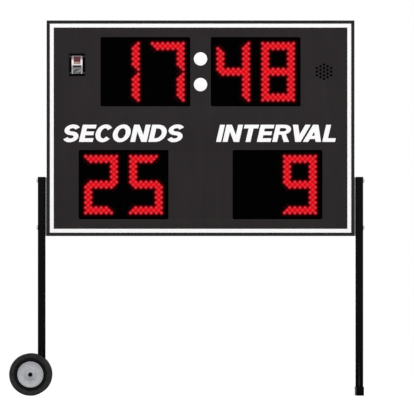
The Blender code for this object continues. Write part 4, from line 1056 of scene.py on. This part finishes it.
def disc_profile(rim, hub):
    hub_tube = [(10.05, hub), (13.2, hub), (14, hub - 0.8), (14, 18)]
    raised_middle = [(15.5, 17), (23.5, 17), (25.5, 16), (27.5, 11.8), (29.5, 11)]
    dished_web = [(50, 11), (52.5, 12), (55.5, 12.2), (58, 13.4)]
    rolled_rim = [(60, 16), (62.5, 16.4), (rim, 15.4)]
    return both_sides([*hub_tube, *raised_middle, *dished_web, *rolled_rim])


def facing_out(end, place):
    """The matrix that puts a shape round Z on the axle, its +Z outwards at this end."""
    outward = 1 if end == "front" else -1
    return Matrix.Translation(place) @ Matrix.Rotation(outward * math.pi / 2, 4, "X")


def wheel(end, ribs):
    """Tyre and pressed disc with fine profiles, in place of the CAD ones."""
    body = f"{end}_wheel"
    tyre_node = f"{end}_tyre"
    disc_node = f"{end}_wheel_disc"
    low, high = corners(tyre_node)
    disc_low, disc_high = corners(disc_node)
    place = facing_out(end, (low + high) / 2)
    half = (high - low) / 2 / MM
    disc_half = (disc_high - disc_low) / 2 / MM
    tyre = turned(tyre_node, tyre_profile(disc_half.z, half.z, half.y), 128, place)
    piece(f"{end}_tyre_moulded", tyre, TYRE_RUBBER, body, (tyre_node,))
    disc = turned(disc_node, disc_profile(disc_half.z, disc_half.y), 128, place)
    piece(f"{end}_wheel_pressing", disc, WHEEL_SILVER, body, (disc_node,))

    for label, ring, count, rib, rise, finish, slot in (
        ("disc_ribs", 40, 8, (19, 5, 2.6), 11, WHEEL_SILVER, "wheel_silver"),
        ("tyre_ribs", 98.6, 72, (9, 3, 3), half.y - 2.6, TYRE_RUBBER, "tyre_rubber"),
    ):
        sizes = {"Ring Radius": ring * MM, "Count": count, "Rib Size": [s * MM for s in rib]}
        for face, up in (("", 1), ("inner_", -1)):
            name = f"{end}_{face}{label}"
            values = {**sizes, "Rise": up * rise * MM, "Finish": finish}
            mesh = grown(name, ribs, points_mesh(name, [(0, 0, 0)]), values)
            mesh.transform(place)
            piece(name, mesh, finish, body)


# Stand and fasteners


def push_cap(end):
    """A domed cap with a flange, pressed on the axle's end, in place of the CAD cap."""
    node = f"{end}_push_cap"
    low, high = corners(node)
    centre = (low + high) / 2
    radius = (high.x - low.x) / 2
    flange = 1.3 * MM
    crown = 3.4 * MM
    profile = [(0, 0), (radius + 1.8 * MM, 0), (radius + 2 * MM, 0.4 * MM)]
    profile += [(radius + 1.6 * MM, flange), (radius, flange + 0.5 * MM)]
    profile += arc((0, high.y - low.y - crown), (radius - 0.6 * MM, crown), 12, 90, 8)
    start = high.y if end == "front" else low.y
    mesh = turned(node, profile, 48, facing_out(end, (centre.x, start, centre.z)))
    piece(f"{node}_domed", mesh, CAP_VINYL, stands_for=(node,))


def cross_head():
    """A pan head with a cross recess, 1 in radius and height, as a shape for the screw tree."""
    profile = [(0, 0), (1, 0), (0.97, 0.35), (0.8, 0.75), (0.45, 0.97), (0, 1)]
    mesh = turned("pan_head", profile, 16, Matrix(), closed=False)
    head = bpy.data.objects.new("pan_head", mesh)
    cross = bpy.data.meshes.new("cross_recess")
    shape = bmesh.new()
    for turn in (0, math.pi / 2):
        place = Matrix.Translation((0, 0, 1)) @ Matrix.Rotation(turn, 4, "Z")
        bmesh.ops.create_cube(shape, size=1, matrix=place @ Matrix.Diagonal((1.0, 0.2, 0.9, 1)))
    shape.to_mesh(cross)
    shape.free()
    recess = bpy.data.objects.new("cross_recess", cross)
    bpy.context.scene.collection.objects.link(recess)
    cut = head.modifiers.new("Recess", "BOOLEAN")
    cut.object = recess
    cut.operation = "DIFFERENCE"
    cut.use_self = True
    mesh = merged(settled(head))
    bpy.data.objects.remove(recess)
    return bpy.data.objects.new("pan_head_shape", mesh)


def screws(name, tree, head, places, radius, height, facing, seed, finish=ZINC):
    bpy.context.scene.collection.objects.link(head)
    sizes = {"Head Radius": radius, "Head Height": height}
    values = {"Head": head, **sizes, "Facing": facing, "Seed": seed, "Finish": finish}
    mesh = grown(name, tree, points_mesh(name, places), values)
    bpy.context.scene.collection.objects.unlink(head)
    piece(name, mesh, finish)


def spaced(start, end, pitch):
    """Even places from start to end, both included, about a pitch apart."""
    count = max(1, round((end - start) / pitch))
    return [start + (end - start) * i / count for i in range(count + 1)]


def cover_screws(tree, head):
    low, high = corners("rear_cover")
    inset = 9 * MM
    # The cover's louvres stand proud of its sheet, so the frame's rear edge gives the sheet's face.
    back = corners("top_rail")[1].y
    xs = spaced(low.x + inset, high.x - inset, SCREW_PITCH)
    zs = spaced(low.z + inset, high.z - inset, SCREW_PITCH)
    places = [(x, back, z) for x in xs for z in (zs[0], zs[-1])]
    places += [(x, back, z) for z in zs[1:-1] for x in (xs[0], xs[-1])]
    facing = (-math.pi / 2, 0, 0)
    screws("cover_screws", tree, head, places, 4 * MM, 2.2 * MM, facing, seed=3)


def plate_screws(tree, head):
    low, high = corners("switch_plate")
    inset = Vector((6.5 * MM, 0, 14 * MM))
    near = low + inset
    far = high - inset
    places = [(x, low.y, z) for x in (near.x, far.x) for z in (near.z, far.z)]
    facing = (math.pi / 2, 0, 0)
    screws("plate_screws", tree, head, places, 3.4 * MM, 1.6 * MM, facing, 5, finish=SHADED_ZINC)


def welds(tree):
    """Beads where each leg and its gussets meet the foot and each other."""
    for hand in ("left", "right"):
        low, high = corners(f"{hand}_leg")
        top = corners(f"{hand}_foot")[1].z
        ends = (low.y + TUBE_CORNER, high.y - TUBE_CORNER)
        beads = [[(x, y, top) for y in ends] for x in (low.x, high.x)]
        for end in ("front", "rear"):
            low, high = corners(f"{hand}_{end}_gusset")
            far, near = (low.y, high.y) if end == "front" else (high.y, low.y)
            beads += [[(x, far, top), (x, near, top), (x, near, high.z)] for x in (low.x, high.x)]
        places = []
        edges = []
        for bead in beads:
            start = len(places)
            places += bead
            edges += [(point - 1, point) for point in range(start + 1, len(places))]
        name = f"{hand}_welds"
        values = {"Drop Radius": WELD_DROP, "Drop Pitch": WELD_DROP, "Seed": 7, "Finish": STAND_COAT}
        mesh = grown(name, tree, points_mesh(name, places, edges), values)
        piece(name, mesh, STAND_COAT)


def tube(node, along):
    """Square steel tube with rolled corners, in place of the CAD tube that runs along this axis."""
    low, high = corners(node)
    size = high - low
    side = size.x
    bore = side - 2 * TUBE_WALL
    outside = rounded_rectangle(side, side, TUBE_CORNER, steps=5)
    inside = rounded_rectangle(bore, bore, TUBE_CORNER - TUBE_WALL, steps=3)
    mesh = flat_shape(node, [outside, inside], size[along], 0.3 * MM)
    if along == 1:
        mesh.transform(Matrix.Rotation(math.pi / 2, 4, "X"))
    mesh.transform(Matrix.Translation((low + high) / 2))
    piece(f"{node}_tube", merged(mesh), STAND_COAT, stands_for=(node,))


def foot_cap(end):
    """A vinyl cap over the foot's end, thinner at its sides than the solid one."""
    node = f"right_foot_{end}_cap"
    low, high = corners(node)
    mesh = cad_copy(node)
    middle = (low.x + high.x) / 2
    across = FOOT_CAP_WIDTH / (high.x - low.x)
    narrower = Matrix.Translation((middle, 0, 0)) @ Matrix.Diagonal((across, 1, 1, 1))
    mesh.transform(narrower @ Matrix.Translation((-middle, 0, 0)))
    mesh = rounded(mesh, 0.5 * MM, 3)
    piece(f"{node}_finished", mesh, CAP_VINYL, stands_for=(node,))


def stand_pieces():
    for hand in ("left", "right"):
        tube(f"{hand}_leg", 2)
        tube(f"{hand}_foot", 1)
        softened(f"{hand}_leg_cap", 0.7 * MM, CAP_VINYL)
        softened(f"{hand}_spacer_strip", 0.3 * MM, BARE_ALUMINIUM)
        for end in ("front", "rear"):
            softened(f"{hand}_{end}_gusset", 0.8 * MM, STAND_COAT)
        for level in ("upper", "lower"):
            softened(f"{hand}_{level}_bolt", 0.4 * MM, ZINC)
    for end in ("front", "rear"):
        push_cap(end)
        foot_cap(end)
        softened(f"{end}_axle_bracket", 0.8 * MM, STAND_COAT)


def cabinet_shell():
    for edge in ("top", "bottom", "left", "right"):
        softened(f"{edge}_rail", 0.8 * MM, CABINET_COAT)
    softened("rear_cover", 0.5 * MM, COVER_COAT)


def narrowed(node, edge, finish, body="stand"):
    """A CAD node of the key, with the key's sides or those of its opening closer together."""
    mesh = cad_copy(node)
    low, high = corners("rocker_lens")
    bar = corners("power_rocker")[0].z - 3 * MM
    middle = (low.x + high.x) / 2
    half = (high.x - low.x) / 2
    for vertex in mesh.vertices:
        off = vertex.co.x - middle
        if vertex.co.z > bar and abs(abs(off) - half) < 0.5 * MM:
            vertex.co.x -= math.copysign(KEY_NARROWING, off)
    softened(node, edge, finish, body, mesh)


def lid_lip():
    """The lip at the flap's free edge, which lies over the bezel for a finger to lift."""
    low, high = corners("inlet_lid")
    bezel = corners("power_module")[0]
    back = bezel.y - LIP_STANDOFF
    bottom = bezel.z + 0.6 * MM
    top = low.z + 1.2 * MM
    outline = rounded_rectangle(high.x - low.x - 2 * LIP_INSET, top - bottom, 1 * MM, steps=4)
    mesh = flat_shape("lid_lip", [outline], back - low.y, 0.2 * MM)
    facing_front(mesh, ((low.x + high.x) / 2, (low.y + back) / 2, (bottom + top) / 2))
    piece("inlet_lid_lip", mesh, LID_POLYCARBONATE, "lid")


def module_pieces():
    softened("switch_plate", 0.4 * MM, PLATE_ACRYLIC)
    narrowed("power_module", 0.5 * MM, BEZEL_ABS)
    narrowed("power_rocker", 0.5 * MM, ROCKER_ABS, "rocker")
    narrowed("rocker_lens", 0.4 * MM, ROCKER_LENS, "rocker")
    softened("inlet_lid", 0.4 * MM, LID_POLYCARBONATE, "lid")
    lid_lip()


CORNERS = ("upper_left", "upper_right", "lower_left", "lower_right")
CARRIED_OVER = {
    WHITE_VINYL: ["border_stripe"],
    HORN_ABS: ["horn"],
    CIRCUIT_MASK: ["control_board"],
    BARE_ALUMINIUM: [*(f"{corner}_corner_key" for corner in CORNERS), "power_supply"],
    SOCKET_PHENOLIC: ["inlet_socket"],
    ZINC: ["lid_pin", "left_nut_bar", "right_nut_bar"],
    AXLE_STEEL: ["axle"],
    NYLON: ["front_wheel_bush", "rear_wheel_bush"],
}


def carried_over():
    """CAD nodes whose shape is right get their finishes."""
    for finish, names in CARRIED_OVER.items():
        for name in names:
            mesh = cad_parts[name].data
            mesh.materials.clear()
            mesh.materials.append(finish)


# Studio


def seen_directly(tree, low, high):
    """High for what the camera sees, also through glass or in a reflection, low for other light."""
    path = add(tree, "LightPath").outputs
    seen = path["Is Camera Ray"]
    for ray in ("Is Glossy Ray", "Is Transmission Ray"):
        seen = add(tree, "Math", {0: seen, 1: path[ray]}, operation="MAXIMUM")
    return add(tree, "MapRange", {"Value": seen, "To Min": low, "To Max": high})


def studio():
    """Pale floor, white surround and soft light from all sides, strongest from the front."""
    scene = bpy.context.scene
    scene.view_settings.view_transform = "Standard"
    world = bpy.data.worlds.new("studio")
    world.use_nodes = True
    scene.world = world
    tree = world.node_tree
    white = linear("FFFFFF")
    plug(tree.nodes["Background"], {"Color": white, "Strength": seen_directly(tree, 0.62, 1.0)})

    floor_mesh = bpy.data.meshes.new("floor")
    shape = bmesh.new()
    bmesh.ops.create_circle(shape, cap_ends=True, segments=64, radius=40)
    shape.to_mesh(floor_mesh)
    shape.free()
    floor = bpy.data.objects.new("floor", floor_mesh)
    scene.collection.objects.link(floor)
    finish, tree, shader = new_finish("pale_floor", 0.0)
    glow = seen_directly(tree, 0.0, 0.66)
    plug(shader, {"Base Color": (0.6, 0.6, 0.6, 1), "Roughness": 0.9})
    plug(shader, {"Emission Color": white, "Emission Strength": glow})
    floor_mesh.materials.append(finish)

    for name, place, size, power in (
        ("front_softbox", (0.1, -7.5, 4.6), 5.0, 340),
        ("rear_softbox", (3.6, 6.0, 6.0), 4.0, 260),
    ):
        light = bpy.data.lights.new(name, "AREA")
        light.size = size
        light.energy = power
        lamp = bpy.data.objects.new(name, light)
        lamp.location = place
        aim = Vector((0, 0, 1.0)) - Vector(place)
        lamp.rotation_euler = aim.to_track_quat("-Z", "Y").to_euler()
        scene.collection.objects.link(lamp)


def camera():
    """Square to the face within half a degree, far away behind a long lens."""
    made = bpy.data.cameras.new("camera")
    made.lens = LENS
    made.sensor_width = SENSOR
    made.clip_end = 200
    obj = bpy.data.objects.new("camera", made)
    face = corners("face_panel")[0].y
    aim = Vector((middle_of("face_panel").x + VIEW_SHIFT_X, face, VIEW_HEIGHT))
    obj.location = (CAMERA_X, face - VIEW_WIDTH * LENS / SENSOR, CAMERA_Z)
    obj.rotation_euler = (aim - obj.location).to_track_quat("-Z", "Y").to_euler()
    bpy.context.scene.collection.objects.link(obj)
    bpy.context.scene.camera = obj


camera()
studio()
carried_over()
cabinet_shell()
face_sheet()
colon_discs()
LEDS = led_tree()
for board_node, shown in DISPLAYS.items():
    digit_board(board_node, shown, LEDS)
for caption_word, window_node in CAPTIONS.items():
    caption(caption_word, window_node)
module_pieces()
RIBS = rib_tree()
for wheel_end in ("front", "rear"):
    wheel(wheel_end, RIBS)
stand_pieces()
welds(weld_tree())
SCREWS = screw_tree()
PAN_HEAD = cross_head()
cover_screws(SCREWS, PAN_HEAD)
plate_screws(SCREWS, PAN_HEAD)
